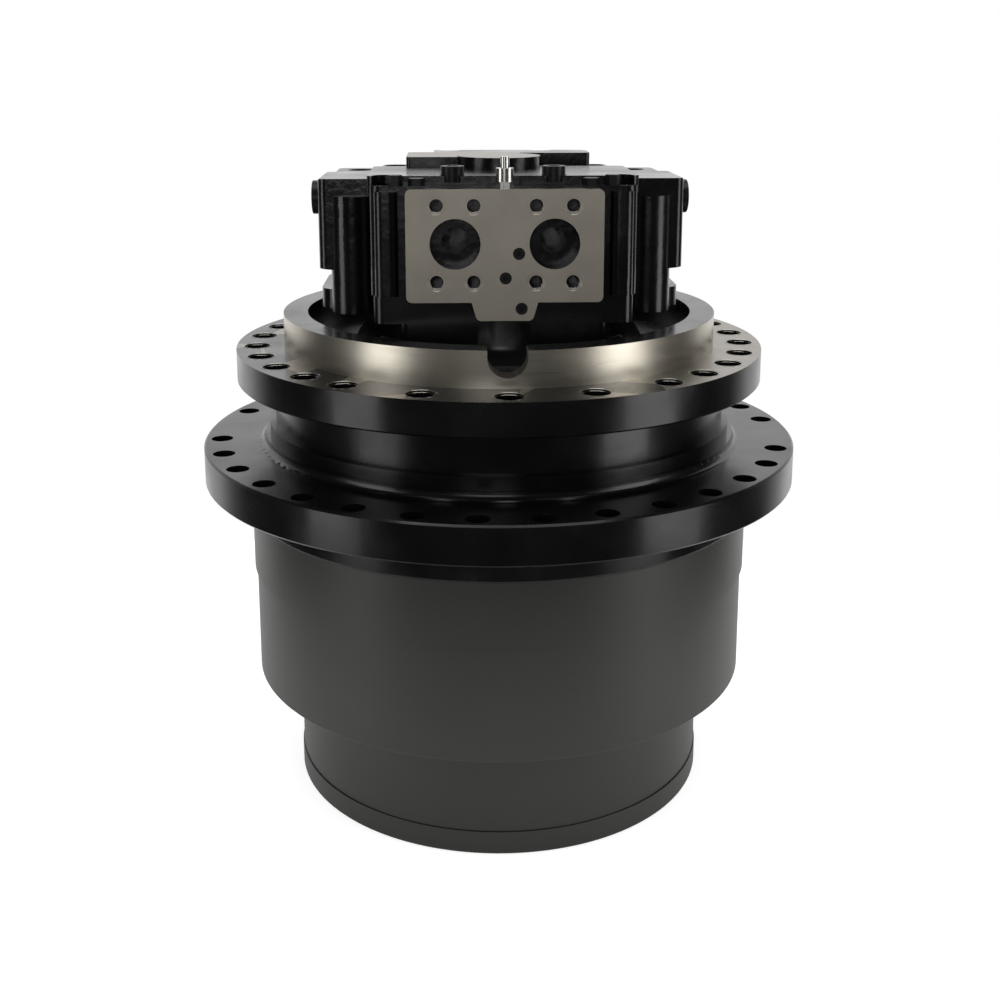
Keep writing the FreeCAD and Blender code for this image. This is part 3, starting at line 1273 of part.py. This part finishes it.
# ---- the assembly ----------------------------------------------------------------------------------
def main():
    os.makedirs("parts", exist_ok=True)
    front = shaft_bearing(front_seat_r, shaft_bearing_outer_r, shaft_bearing_z, shaft_bearing_w)
    rear = shaft_bearing(rear_seat_r, rear_bearing_outer_r, rear_bearing_z, rear_bearing_w)
    seal_low = hub_top + hub_gap / 2 - seat / 2
    seal_high = hub_top + hub_gap / 2 + seat / 2

    save("spindle", make_spindle())
    save("rear_cover", make_rear_cover())
    save("rear_cover_screws", *make_block_screws())
    save("gallery_plugs", *make_gallery_plugs())
    save("bleed_fitting", make_bleed_fitting())
    save("spool_caps", make_spool_cap(-1), make_spool_cap(1))
    save("speed_spool_plug", make_speed_plug())
    save("relief_valves", make_relief_valve(-1), make_relief_valve(1))
    save("carrier_2", make_carrier_2())
    save("planet_pins_2", *make_planet_pins(2))
    save("planet_bushes_2", *make_planet_bushes(2))
    save("thrust_washers_2", *make_thrust_washers(2))
    save("main_bearing_inner_rings", bearing_turned(inner_ring_section(), True),
         bearing_turned(inner_ring_section(), False))
    save("bearing_nut", make_bearing_nut())
    save("seal_ring_fixed", seal_ring(seal_high, 1))
    save("toric_ring_fixed", toric_ring(seal_high, 1))
    save("valve_plate", make_valve_plate())
    save("separator_plates", *make_separator_plates())
    save("shaft_bearing_outer_rings", front[0], rear[0])
    save("oil_seal", ring(coupling_r + 2 * fit, seal_bore_r - fit, oil_space_top + 1,
                          shaft_bearing_z - bearing_shoulder_h - 1))
    save("brake_spring", make_brake_spring())

    save("hub", make_hub())
    save("ring_gear_2", make_ring_gear_2())
    save("ring_gear_1", make_ring_gear_1())
    save("end_cover", make_end_cover())
    save("cover_plugs", *make_cover_plugs())
    save("cover_screws", *make_cover_screws())
    save("hub_screws", *make_hub_screws())
    save("thrust_button", rod(thrust_button_r, cover_h, sun_1_z - apart))
    save("main_bearing_outer_rings", bearing_turned(outer_ring_section(), True),
         bearing_turned(outer_ring_section(), False))
    save("seal_ring_rotating", seal_ring(seal_low, -1))
    save("toric_ring_rotating", toric_ring(seal_low, -1))
    save("main_bearing_rollers", *make_main_rollers())

    save("motor_shaft", make_motor_shaft())
    save("input_shaft", make_input_shaft())
    save("cylinder_block", make_cylinder_block())
    save("ball_guide", make_ball_guide())
    save("pistons", *make_pistons())
    save("friction_discs", *make_friction_discs())
    save("shaft_bearing_inner_rings", front[1], rear[1])
    save("shaft_bearing_rollers", *front[2], *rear[2])

    save("carrier_1", make_carrier_1())
    save("planet_pins_1", *make_planet_pins(1))
    save("planet_bushes_1", *make_planet_bushes(1))
    save("thrust_washers_1", *make_thrust_washers(1))
    save("sun_gear_2", make_sun_gear_2())
    for i, letter in enumerate("abc"):
        save("planet_gear_1" + letter, planet_gear(i, ring_1_teeth, sun_1_teeth, planet_1_teeth, module_1,
                                                   planet_1_z, planet_1_w, bush_1_r))
        save("planet_gear_2" + letter, planet_gear(i, ring_2_teeth, sun_2_teeth, planet_2_teeth, module_2,
                                                   planet_2_z, planet_2_w, bush_2_r))

    save("swash_plate", make_swash_plate())
    save("shoes", *make_shoes())
    save("shoe_retainer", make_retainer())
    save("control_piston", make_control_piston())
    save("brake_piston", make_brake_piston())
    save("counterbalance_spool", make_counterbalance_spool())
    save("speed_spool", make_speed_spool())


main()
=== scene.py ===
# %% [markdown]
# An excavator's final drive stands on its end cover. The measured assembly comes from the frame as
# finished solids. This script gives every visible casting its paint and bare machined faces, adds the
# countersinks round the bolt holes, and sets up a plain studio.

# %% Load the assembly
import json
import math

import bmesh
import bpy
from mathutils import Matrix, Vector


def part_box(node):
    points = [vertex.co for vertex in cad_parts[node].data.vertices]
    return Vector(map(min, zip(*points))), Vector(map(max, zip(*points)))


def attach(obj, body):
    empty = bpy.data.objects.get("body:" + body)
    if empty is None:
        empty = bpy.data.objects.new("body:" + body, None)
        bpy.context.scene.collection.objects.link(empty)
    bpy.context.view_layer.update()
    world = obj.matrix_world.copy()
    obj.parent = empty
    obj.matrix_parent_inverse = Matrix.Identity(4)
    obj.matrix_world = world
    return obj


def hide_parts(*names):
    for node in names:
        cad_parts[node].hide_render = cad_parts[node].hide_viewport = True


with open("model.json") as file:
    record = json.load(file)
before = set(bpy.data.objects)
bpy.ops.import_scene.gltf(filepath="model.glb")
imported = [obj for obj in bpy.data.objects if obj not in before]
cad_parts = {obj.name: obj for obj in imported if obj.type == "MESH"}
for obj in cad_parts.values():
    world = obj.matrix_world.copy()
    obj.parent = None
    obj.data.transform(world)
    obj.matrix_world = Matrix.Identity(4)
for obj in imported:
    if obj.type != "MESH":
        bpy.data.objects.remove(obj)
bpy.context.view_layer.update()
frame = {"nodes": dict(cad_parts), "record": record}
MM = 0.001
nodes = frame["nodes"]

# %% [markdown]
# The heights and radii that the paint lines need are read from the solids and from the places where
# the drive is bolted on, so they follow if the assembly changes.

# %% Heights and radii read from the solids
block_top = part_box("rear_cover")[1][2]
frame_flange_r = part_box("spindle")[1][0]
pattern = {m["name"]: m for m in frame["record"]["mounts"]}
pilot_r = pattern["frame_pilot"]["dims"]["r_mm"] * MM
pilot_mid = pattern["frame_pilot"]["pos_m"][2]
pilot_h = pattern["frame_pilot"]["dims"]["length_mm"] * MM
flange_top = pilot_mid - pilot_h / 2
pad_y = pattern["port_face"]["pos_m"][1]
print("frame flange top at %.1f mm, port face at y %.1f mm" % (flange_top / MM, pad_y / MM))

# %% [markdown]
# The camera stands at the height of the valve block and looks down a little. Its lens is long, as
# for a product shot, so the round flanges stay nearly true ellipses.

# %% Camera
AIM_TURN = math.radians(2.05)
CAMERA_AWAY = 1.1049
CAMERA_UP = 0.6024
LOOK_DOWN = math.radians(11.82)
LENS, SENSOR = 47.43, 36.0
SHIFT_X, SHIFT_Y = 0.0012, -0.1548
FAR_ENOUGH = 50

camera_data = bpy.data.cameras.new("product_camera")
camera_data.lens = LENS
camera_data.sensor_width = SENSOR
camera_data.shift_x = SHIFT_X
camera_data.shift_y = SHIFT_Y
camera_data.clip_end = FAR_ENOUGH
camera = bpy.data.objects.new("product_camera", camera_data)
camera.location = (-CAMERA_AWAY * math.sin(AIM_TURN), -CAMERA_AWAY * math.cos(AIM_TURN), CAMERA_UP)
camera.rotation_euler = (math.pi / 2 - LOOK_DOWN, 0, -AIM_TURN)
bpy.context.collection.objects.link(camera)
bpy.context.scene.camera = camera
print("camera at", [round(v, 3) for v in camera.location])


# %% [markdown]
# Two small helpers serve every material. One turns a painter's hex colour into the linear numbers
# that the shader wants, and one adds a node with its settings and links in a single line.

# %% Helpers for materials
def linear(hex_colour):
    values = [int(hex_colour[i:i + 2], 16) / 255 for i in (1, 3, 5)]
    return tuple(v / 12.92 if v <= 0.04045 else ((v + 0.055) / 1.055) ** 2.4 for v in values) + (1.0,)


def node(tree, kind, settings=None, links=None, **attributes):
    """Adds a node. settings fill its sockets, links join {socket: (node, output)}."""
    made = tree.nodes.new(kind)
    for name, value in attributes.items():
        setattr(made, name, value)
    for socket, value in (settings or {}).items():
        made.inputs[socket].default_value = value
    for socket, (source, output) in (links or {}).items():
        tree.links.new(source.outputs[output], made.inputs[socket])
    return made


# %% [markdown]
# The studio is a dim room with a white backdrop behind the object and a tall soft box on each side.
# Black gloss paint and bare steel show little but reflections, so the places of the boxes matter more
# than their strength. The boxes stand sixty degrees to the left and right of the camera, which puts
# one bright band on each side of every turned face and leaves its middle dark.

# %% World: white to look at, a white backdrop and a dim room in reflections
ROOM_DIM = (0.035, 0.035, 0.035, 1)
ROOM_LIGHT = (0.6, 0.6, 0.6, 1)
BACKDROP_STARTS, BACKDROP_FULL = 0.35, 0.75


def make_world():
    world = bpy.data.worlds.new("studio_world")
    world.use_nodes = True
    tree = world.node_tree
    tree.nodes.clear()
    ray = node(tree, "ShaderNodeLightPath")
    direction = node(tree, "ShaderNodeTexCoord")
    split = node(tree, "ShaderNodeSeparateXYZ", links={0: (direction, "Generated")})
    behind = node(tree, "ShaderNodeMapRange", {"From Min": BACKDROP_STARTS, "From Max": BACKDROP_FULL},
                  {"Value": (split, "Y")}, interpolation_type="SMOOTHSTEP")
    white = node(tree, "ShaderNodeMath", links={0: (ray, "Is Camera Ray"), 1: (behind, "Result")},
                 operation="MAXIMUM")
    shown = node(tree, "ShaderNodeMixRGB", {"Color1": ROOM_DIM, "Color2": (1, 1, 1, 1)}, {"Fac": (white, 0)})
    seen = node(tree, "ShaderNodeBackground", {"Strength": 1.0}, {"Color": (shown, 0)})
    lit = node(tree, "ShaderNodeBackground", {"Color": ROOM_LIGHT, "Strength": 1.0})
    mirrored = node(tree, "ShaderNodeMath", links={0: (ray, "Is Camera Ray"), 1: (ray, "Is Glossy Ray")},
                    operation="MAXIMUM")
    either = node(tree, "ShaderNodeMath", links={0: (mirrored, 0), 1: (ray, "Is Transmission Ray")},
                  operation="MAXIMUM")
    mix = node(tree, "ShaderNodeMixShader", links={0: (either, 0), 1: (lit, 0), 2: (seen, 0)})
    node(tree, "ShaderNodeOutputWorld", links={"Surface": (mix, 0)})
    bpy.context.scene.world = world


make_world()
print("the backdrop grows white where the direction's y goes from", BACKDROP_STARTS, "to", BACKDROP_FULL)

# %% [markdown]
# The object stands on a round sheet of white paper. The paper glows a little for the eye, so that it
# meets the white backdrop without an edge, and its matt part still takes the object's shadow.

# %% Floor
PAPER_R = 0.62
PAPER_GLOW = 0.72
PAPER_IN_GLOSS = 0.35  # how much of its glow the paper keeps in reflections


def make_floor():
    bm = bmesh.new()
    bmesh.ops.create_circle(bm, cap_ends=True, segments=96, radius=PAPER_R)
    mesh = bpy.data.meshes.new("floor")
    bm.to_mesh(mesh)
    bm.free()
    floor = bpy.data.objects.new("floor", mesh)
    material = bpy.data.materials.new("white_paper")
    material.use_nodes = True
    tree = material.node_tree
    tree.nodes.clear()
    ray = node(tree, "ShaderNodeLightPath")
    paper = node(tree, "ShaderNodeBsdfDiffuse", {"Color": linear("#D2D2D2")})
    glow = node(tree, "ShaderNodeEmission", {"Color": (1, 1, 1, 1), "Strength": PAPER_GLOW})
    bright = node(tree, "ShaderNodeAddShader", links={0: (paper, 0), 1: (glow, 0)})
    mirrored = node(tree, "ShaderNodeMath", operation="MAXIMUM",
                    links={0: (ray, "Is Camera Ray"), 1: (ray, "Is Transmission Ray")})
    glossy = node(tree, "ShaderNodeMath", {1: PAPER_IN_GLOSS}, {0: (ray, "Is Glossy Ray")},
                  operation="MULTIPLY")
    seen = node(tree, "ShaderNodeMath", links={0: (mirrored, 0), 1: (glossy, 0)}, operation="MAXIMUM")
    mix = node(tree, "ShaderNodeMixShader", links={0: (seen, 0), 1: (paper, 0), 2: (bright, 0)})
    node(tree, "ShaderNodeOutputMaterial", links={"Surface": (mix, 0)})
    mesh.materials.append(material)
    bpy.context.collection.objects.link(floor)


make_floor()
print("paper of", PAPER_R, "m radius")

# %% [markdown]
# The soft boxes are area lamps. The side boxes reach down to the floor, because a face that is seen
# from above reflects what lies low. A wide box hangs overhead and a weak one fills the front.

# %% Lamps
BOX_AWAY = 1.7
BOX_TURN = math.radians(60)
MIDDLE = (0, 0, 0.3)


def soft_box(name, place, size, aim, watts):
    light = bpy.data.lights.new(name, "AREA")
    light.shape = "RECTANGLE"
    light.size, light.size_y = size
    light.energy = watts
    lamp = bpy.data.objects.new(name, light)
    lamp.location = place
    lamp.rotation_euler = (Vector(place) - Vector(aim)).to_track_quat("Z", "Y").to_euler()
    bpy.context.collection.objects.link(lamp)


side, front = BOX_AWAY * math.sin(BOX_TURN), -BOX_AWAY * math.cos(BOX_TURN)
soft_box("left_box", (-side, front, 0.55), (0.62, 1.7), (0, 0, 0.55), 7.5)
soft_box("right_box", (side, front, 0.55), (0.72, 1.7), (0, 0, 0.55), 10.5)
soft_box("overhead_box", (0, -0.25, 2.1), (1.8, 1.2), MIDDLE, 16)
soft_box("front_fill", (-0.3, -2.7, 0.75), (1.0, 0.7), (0, 0, 0.45), 5.0)
bpy.context.scene.view_settings.view_transform = "Standard"
print("lamps: a soft box each side, one overhead and a weak fill in front")


# %% [markdown]
# Paint on castings: a near-black alkyd enamel sprayed thick. It is smooth and glossy, and the light
# breaks up on its slight orange peel. On the rough castings of the valve block the peel is deeper.

# %% Black gloss enamel
def per_mm(size_mm, stretch=(1, 1, 1)):
    """The mapping scale at which one unit of a pattern is size_mm millimetres."""
    return [pull / (size_mm * MM) for pull in stretch]


def new_material(name):
    material = bpy.data.materials.new(name)
    material.use_nodes = True
    tree = material.node_tree
    tree.nodes.clear()
    shader = node(tree, "ShaderNodeBsdfPrincipled")
    node(tree, "ShaderNodeOutputMaterial", links={"Surface": (shader, "BSDF")})
    return material, tree, shader


def fill(shader, values):
    for socket, value in values.items():
        shader.inputs[socket].default_value = value


def gloss_enamel(name, colour, peel_mm, peel_depth, rough):
    material, tree, shader = new_material(name)
    fill(shader, {"Base Color": linear(colour), "Roughness": rough, "IOR": 1.45, "Coat Weight": 0.05,
                  "Coat Roughness": 0.06})
    here = node(tree, "ShaderNodeTexCoord")
    fine = node(tree, "ShaderNodeMapping", {"Scale": per_mm(peel_mm)}, {"Vector": (here, "Object")})
    wide = node(tree, "ShaderNodeMapping", {"Scale": per_mm(45)}, {"Vector": (here, "Object")})
    peel = node(tree, "ShaderNodeTexNoise", {"Scale": 1.0, "Detail": 3.0}, {"Vector": (fine, 0)})
    bump = node(tree, "ShaderNodeBump", {"Strength": peel_depth, "Distance": 0.0004},
                {"Height": (peel, "Fac")})
    dust = node(tree, "ShaderNodeTexNoise", {"Scale": 1.0, "Detail": 6.0}, {"Vector": (wide, 0)})
    spread = node(tree, "ShaderNodeMapRange", {"From Min": 0.3, "From Max": 0.75, "To Min": rough - 0.05,
                                               "To Max": rough + 0.10}, {"Value": (dust, "Fac")})
    tree.links.new(spread.outputs[0], shader.inputs["Roughness"])
    tree.links.new(bump.outputs[0], shader.inputs["Normal"])
    return material


flange_enamel = gloss_enamel("black_gloss_enamel", "#060607", 6, 0.08, 0.22)
cast_enamel = gloss_enamel("black_enamel_on_cast_iron", "#060607", 9, 0.75, 0.20)
print("enamels:", flange_enamel.name, cast_enamel.name)


# %% [markdown]
# The gear drums were turned on a lathe and sprayed thin: a satin olive-grey film through which the
# fine tool marks still show as rings round the axis.

# %% Satin enamel over turned steel
def satin_enamel(name, colour, worn, ring_mm, ring_depth):
    material, tree, shader = new_material(name)
    fill(shader, {"Base Color": linear(colour), "Roughness": 0.42, "IOR": 1.5, "Coat Weight": 0.12,
                  "Coat Roughness": 0.3})
    here = node(tree, "ShaderNodeTexCoord")
    fine = node(tree, "ShaderNodeMapping", {"Scale": per_mm(ring_mm, (0.004, 0.004, 1))},
                {"Vector": (here, "Object")})
    wide = node(tree, "ShaderNodeMapping", {"Scale": per_mm(60)}, {"Vector": (here, "Object")})
    rings = node(tree, "ShaderNodeTexNoise", {"Scale": 1.0, "Detail": 4.0}, {"Vector": (fine, 0)})
    mist = node(tree, "ShaderNodeTexNoise", {"Scale": 1.0, "Detail": 5.0}, {"Vector": (wide, 0)})
    shade = node(tree, "ShaderNodeMixRGB", {"Color1": linear(colour), "Color2": linear(worn)},
                 {"Fac": (mist, "Fac")})
    tree.links.new(shade.outputs[0], shader.inputs["Base Color"])
    bump = node(tree, "ShaderNodeBump", {"Strength": ring_depth, "Distance": 0.0003},
                {"Height": (rings, "Fac")})
    tree.links.new(bump.outputs[0], shader.inputs["Normal"])
    return material


drum_enamel = satin_enamel("satin_enamel_on_turned_steel", "#1D1E1A", "#262721", 0.8, 0.22)
print("drum finish:", drum_enamel.name)


# %% [markdown]
# Bare machined faces: cast iron and steel straight off the lathe or mill, lightly oiled. Their colour
# is a warm grey, and the tool leaves fine parallel scratches that stretch the reflections.

# %% Bare machined steel
def bare_steel(name, colour, dull, rough, grain_mm, stretch, depth):
    material, tree, shader = new_material(name)
    fill(shader, {"Base Color": linear(colour), "Metallic": 1.0, "Roughness": rough})
    here = node(tree, "ShaderNodeTexCoord")
    fine = node(tree, "ShaderNodeMapping", {"Scale": per_mm(grain_mm, stretch)}, {"Vector": (here, "Object")})
    wide = node(tree, "ShaderNodeMapping", {"Scale": per_mm(30)}, {"Vector": (here, "Object")})
    grain = node(tree, "ShaderNodeTexNoise", {"Scale": 1.0, "Detail": 5.0}, {"Vector": (fine, 0)})
    stain = node(tree, "ShaderNodeTexNoise", {"Scale": 1.0, "Detail": 4.0}, {"Vector": (wide, 0)})
    shade = node(tree, "ShaderNodeMixRGB", {"Color1": linear(colour), "Color2": linear(dull)},
                 {"Fac": (stain, "Fac")})
    tree.links.new(shade.outputs[0], shader.inputs["Base Color"])
    spread = node(tree, "ShaderNodeMapRange", {"To Min": rough - 0.08, "To Max": rough + 0.10},
                  {"Value": (grain, "Fac")})
    tree.links.new(spread.outputs[0], shader.inputs["Roughness"])
    bump = node(tree, "ShaderNodeBump", {"Strength": depth, "Distance": 0.0002}, {"Height": (grain, "Fac")})
    tree.links.new(bump.outputs[0], shader.inputs["Normal"])
    return material


turned_steel = bare_steel("turned_bare_steel", "#CFC9BC", "#B5AE9F", 0.30, 0.5, (0.01, 0.01, 1), 0.25)
faced_steel_and_painted_reflection = bare_steel("faced_bare_steel_and_painted_reflection", "#A9A49C", "#857F77", 0.33, 1.2, (1, 1, 0.1), 0.15)
milled_steel = bare_steel("milled_bare_steel", "#BDB7AB", "#A39D92", 0.47, 0.7, (0.02, 1, 1), 0.2)
ground_steel = bare_steel("ground_gear_steel", "#B8B8BA", "#98989C", 0.28, 1.0, (1, 1, 0.2), 0.2)
# The countersunk steel is a lighter copy of bare steel. The cut steel is real; its extra lightness is a
# painted highlight on the chamfers.
chamfer_steel_with_painted_highlight = bare_steel("countersunk_steel_with_painted_highlight", "#DDD9D0", "#C4BFB4", 0.24, 1.0, (1, 1, 1), 0.08)
zinc_plate = bare_steel("zinc_plated_steel", "#D9D8D4", "#BFBDB8", 0.20, 2.0, (1, 1, 1), 0.08)
print("bare metals: turned, faced, milled, ground and zinc plated")


# %% [markdown]
# The remaining finishes belong to pieces that mostly hide: blackened screws, bronze bushes, rubber
# and the sintered lining of the brake discs.

# %% Screws, bronze, rubber and friction lining
def plain_finish(name, colour, metallic, rough, grain_mm, depth):
    material, tree, shader = new_material(name)
    fill(shader, {"Base Color": linear(colour), "Metallic": metallic, "Roughness": rough})
    here = node(tree, "ShaderNodeTexCoord")
    fine = node(tree, "ShaderNodeMapping", {"Scale": per_mm(grain_mm)}, {"Vector": (here, "Object")})
    grain = node(tree, "ShaderNodeTexNoise", {"Scale": 1.0, "Detail": 4.0}, {"Vector": (fine, 0)})
    spread = node(tree, "ShaderNodeMapRange", {"To Min": rough - 0.06, "To Max": rough + 0.08},
                  {"Value": (grain, "Fac")})
    bump = node(tree, "ShaderNodeBump", {"Strength": depth, "Distance": 0.0002}, {"Height": (grain, "Fac")})
    tree.links.new(spread.outputs[0], shader.inputs["Roughness"])
    tree.links.new(bump.outputs[0], shader.inputs["Normal"])
    return material


black_oxide = plain_finish("black_oxide_steel", "#1B1B1C", 0.6, 0.35, 1.5, 0.1)
bronze = plain_finish("bearing_bronze", "#B08A4E", 1.0, 0.32, 1.0, 0.1)
nitrile = plain_finish("nitrile_rubber", "#141414", 0.0, 0.55, 0.8, 0.2)
lining = plain_finish("sintered_lining", "#5A4534", 0.3, 0.7, 0.6, 0.5)
finish_of_slot = {
    "black_gloss_paint": flange_enamel, "satin_paint": drum_enamel, "cast_black": cast_enamel,
    "bare_steel": faced_steel_and_painted_reflection, "gear_steel": ground_steel, "screw_black": black_oxide,
    "zinc": zinc_plate, "bronze": bronze, "nitrile": nitrile, "friction_paper": lining,
}
slot_of_node = {part["node"]: part["material_slot"] for part in frame["record"]["subparts"]}
for name, part in nodes.items():
    for slot in part.material_slots:
        slot.material = finish_of_slot[slot_of_node[name]]
print("every node has its finish")


# %% [markdown]
# Real castings have no knife edges. Each big casting is shown by a merged copy of its solid, in which
# the sharp edges are bevelled as far as its shortest edge allows. Weighted normals keep its flats even.

# %% Rounded copies of the castings
def sharp_edges(bm, least_deg):
    least = math.radians(least_deg)
    return [e for e in bm.edges if len(e.link_faces) == 2 and e.calc_face_angle(0) > least]


def dressed(name, width_mm, least_deg=32, segments=2):
    """A copy of node's mesh with merged corners, whole flat faces and bevelled edges."""
    source = nodes[name]
    bm = bmesh.new()
    bm.from_mesh(source.data)
    bmesh.ops.remove_doubles(bm, verts=bm.verts, dist=1e-6)
    bmesh.ops.dissolve_limit(bm, angle_limit=math.radians(0.4), verts=bm.verts, edges=bm.edges,
                             use_dissolve_boundaries=False, delimit=set())
    if width_mm:
        bmesh.ops.bevel(bm, geom=sharp_edges(bm, least_deg), offset=width_mm * MM, offset_type="OFFSET",
                        affect="EDGES", segments=segments, profile=0.5, material=-1, clamp_overlap=True)
    bmesh.ops.recalc_face_normals(bm, faces=bm.faces)
    mesh = bpy.data.meshes.new(name + "_dressed")
    bm.to_mesh(mesh)
    bm.free()
    mesh.polygons.foreach_set("use_smooth", [True] * len(mesh.polygons))
    mesh.set_sharp_from_angle(angle=math.radians(34))
    piece = bpy.data.objects.new(name + "_dressed", mesh)
    mesh.materials.append(source.material_slots[0].material)
    bpy.context.collection.objects.link(piece)
    flats = piece.modifiers.new("even_flats", "WEIGHTED_NORMAL")
    flats.keep_sharp = True
    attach(piece, body_of[name])
    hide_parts(name)
    print("%s: %d faces" % (piece.name, len(mesh.polygons)))
    return piece


body_of = {n: body for body, group in frame["record"]["behaviour"]["bodies"].items() for n in group}
hub = dressed("hub", 1.2)
dressed("ring_gear_2", 0.9, least_deg=60)
dressed("ring_gear_1", 0.9, least_deg=60)
dressed("end_cover", 0.9)
spindle = dressed("spindle", 0.9)
valve_block = dressed("rear_cover", 1.1)
dressed("bleed_fitting", 0.4)
dressed("gallery_plugs", 0.4)
dressed("rear_cover_screws", 0.4)
dressed("spool_caps", 0.8)
dressed("relief_valves", 0.6)
dressed("speed_spool_plug", 0.5)


# %% [markdown]
# The ring, the flange's top face and the port face were machined after painting, so they are bare,
# and the hub's drum has the satin finish of the gear drums. The valve block's top face is given light
# faced steel as well, which is a painted reflection of the overhead light on its black paint. Such faces
# are found by where they lie, and get their finishes in slots of their own.

# %% Bare faces on the painted castings
def paint_faces(piece, material, wanted):
    """Gives the material to the faces whose centre and normal the test wants."""
    mesh = piece.data
    mesh.materials.append(material)
    index = len(mesh.materials) - 1
    count = 0
    for face in mesh.polygons:
        if wanted(face.center, face.normal):
            face.material_index = index
            count += 1
    print("%s: %d faces of %s" % (piece.name, count, material.name))


def radius(point):
    return math.hypot(point.x, point.y)


RING_WALL = 20 * MM
RIM = 1.5 * MM
FLANGE_MARGIN = 4 * MM
RING_INSIDE, RING_TOP_INSIDE = 0.3 * MM, 0.2 * MM
UPWARD, FLAT_UP = 0.9, 0.95
LEAST_TILT = 0.05
CHAMFER_STEEP, CHAMFER_FLAT = -0.95, -0.1
HUB_DRUM_TOP = 239 * MM
paint_faces(spindle, turned_steel, lambda c, n: pilot_r - RING_WALL + RING_INSIDE < radius(c) < pilot_r + RIM
            and c.z > flange_top - RIM and n.z < UPWARD)
paint_faces(spindle, faced_steel_and_painted_reflection, lambda c, n: radius(c) > pilot_r - RING_WALL - RING_TOP_INSIDE
            and c.z > flange_top - RIM and n.z > UPWARD)
# Tilted chamfer faces on the flange top get the lighter countersink steel, which is a painted highlight.
paint_faces(spindle, chamfer_steel_with_painted_highlight, lambda c, n: c.z > flange_top - RIM
            and pilot_r + FLANGE_MARGIN < radius(c) < frame_flange_r - FLANGE_MARGIN
            and LEAST_TILT < n.z < UPWARD)
paint_faces(hub, drum_enamel, lambda c, n: c.z < HUB_DRUM_TOP)
paint_faces(valve_block, milled_steel, lambda c, n: c.y < pad_y + RIM)
# The chamfers round the port face's holes get the same lighter steel, which is a painted highlight.
paint_faces(valve_block, chamfer_steel_with_painted_highlight, lambda c, n: c.y < pad_y + RIM
            and CHAMFER_STEEP < n.y < CHAMFER_FLAT)
# The block's top face gets light faced steel as a painted reflection of the overhead light on its black
# paint.
paint_faces(valve_block, faced_steel_and_painted_reflection, lambda c, n: n.z > FLAT_UP and c.z > block_top - RIM)

# %% [markdown]
# The bolt holes of the frame flange and the port face were countersunk after painting, so a cone of
# bare steel shows round each dark hole. That steel is lighter than the other bare faces, which is a
# painted highlight. One small ring is spun for each hole, with its sloped side just proud of the casting.

# %% Countersinks round the bolt holes
SINK_WIDE, SINK_DEEP, SINK_PROUD = 1.6 * MM, 1.4 * MM, 0.1 * MM
SINK_STEPS = 32


def hole_places(names):
    """Where the holes of the named bolt patterns lie, in the plane of their face."""
    places = []
    for name in names:
        mount = pattern[name]
        half_x = mount["dims"].get("spacing_x_mm", 0) * MM / 2
        half_y = mount["dims"]["spacing_y_mm"] * MM / 2
        signs = (-1, 1) if half_x else (1,)
        places += [(mount, i * half_x, j * half_y) for i in signs for j in (-1, 1)]
    return places


def countersinks(piece_name, names, tilt, node_name):
    bm = bmesh.new()
    for mount, x, y in hole_places(names):
        hole_r = mount["dims"]["hole_r_mm"] * MM
        known = set(bm.verts)
        points = ((hole_r - SINK_PROUD, -SINK_DEEP), (hole_r + SINK_WIDE, SINK_PROUD),
                  (hole_r + SINK_WIDE, -SINK_DEEP / 2))
        corners = [bm.verts.new((r, 0, h)) for r, h in points]
        sides = [bm.edges.new((corners[i - 1], corners[i])) for i in range(3)]
        bmesh.ops.spin(bm, geom=corners + sides, cent=(0, 0, 0), axis=(0, 0, 1), angle=2 * math.pi,
                       steps=SINK_STEPS, use_merge=True, use_duplicate=False)
        fresh = [v for v in bm.verts if v not in known]
        bmesh.ops.translate(bm, verts=fresh, vec=(x, y, 0))
        bmesh.ops.rotate(bm, verts=fresh, cent=(0, 0, 0), matrix=Matrix.Rotation(tilt, 3, "X"))
        bmesh.ops.translate(bm, verts=fresh, vec=mount["pos_m"])
    bmesh.ops.remove_doubles(bm, verts=bm.verts, dist=1e-6)
    bmesh.ops.recalc_face_normals(bm, faces=bm.faces)
    mesh = bpy.data.meshes.new(piece_name)
    bm.to_mesh(mesh)
    bm.free()
    mesh.polygons.foreach_set("use_smooth", [True] * len(mesh.polygons))
    mesh.set_sharp_from_angle(angle=math.radians(34))
    mesh.materials.append(chamfer_steel_with_painted_highlight)
    piece = bpy.data.objects.new(piece_name, mesh)
    bpy.context.collection.objects.link(piece)
    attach(piece, body_of[node_name])
    print("%s: %d faces" % (piece_name, len(mesh.polygons)))


frame_bolts = [name for name in pattern if name.startswith("frame_bolts")]
countersinks("frame_countersinks", frame_bolts, 0.0, "spindle")
countersinks("port_countersinks", ["port_a_bolts", "port_b_bolts"], math.pi / 2, "rear_cover")
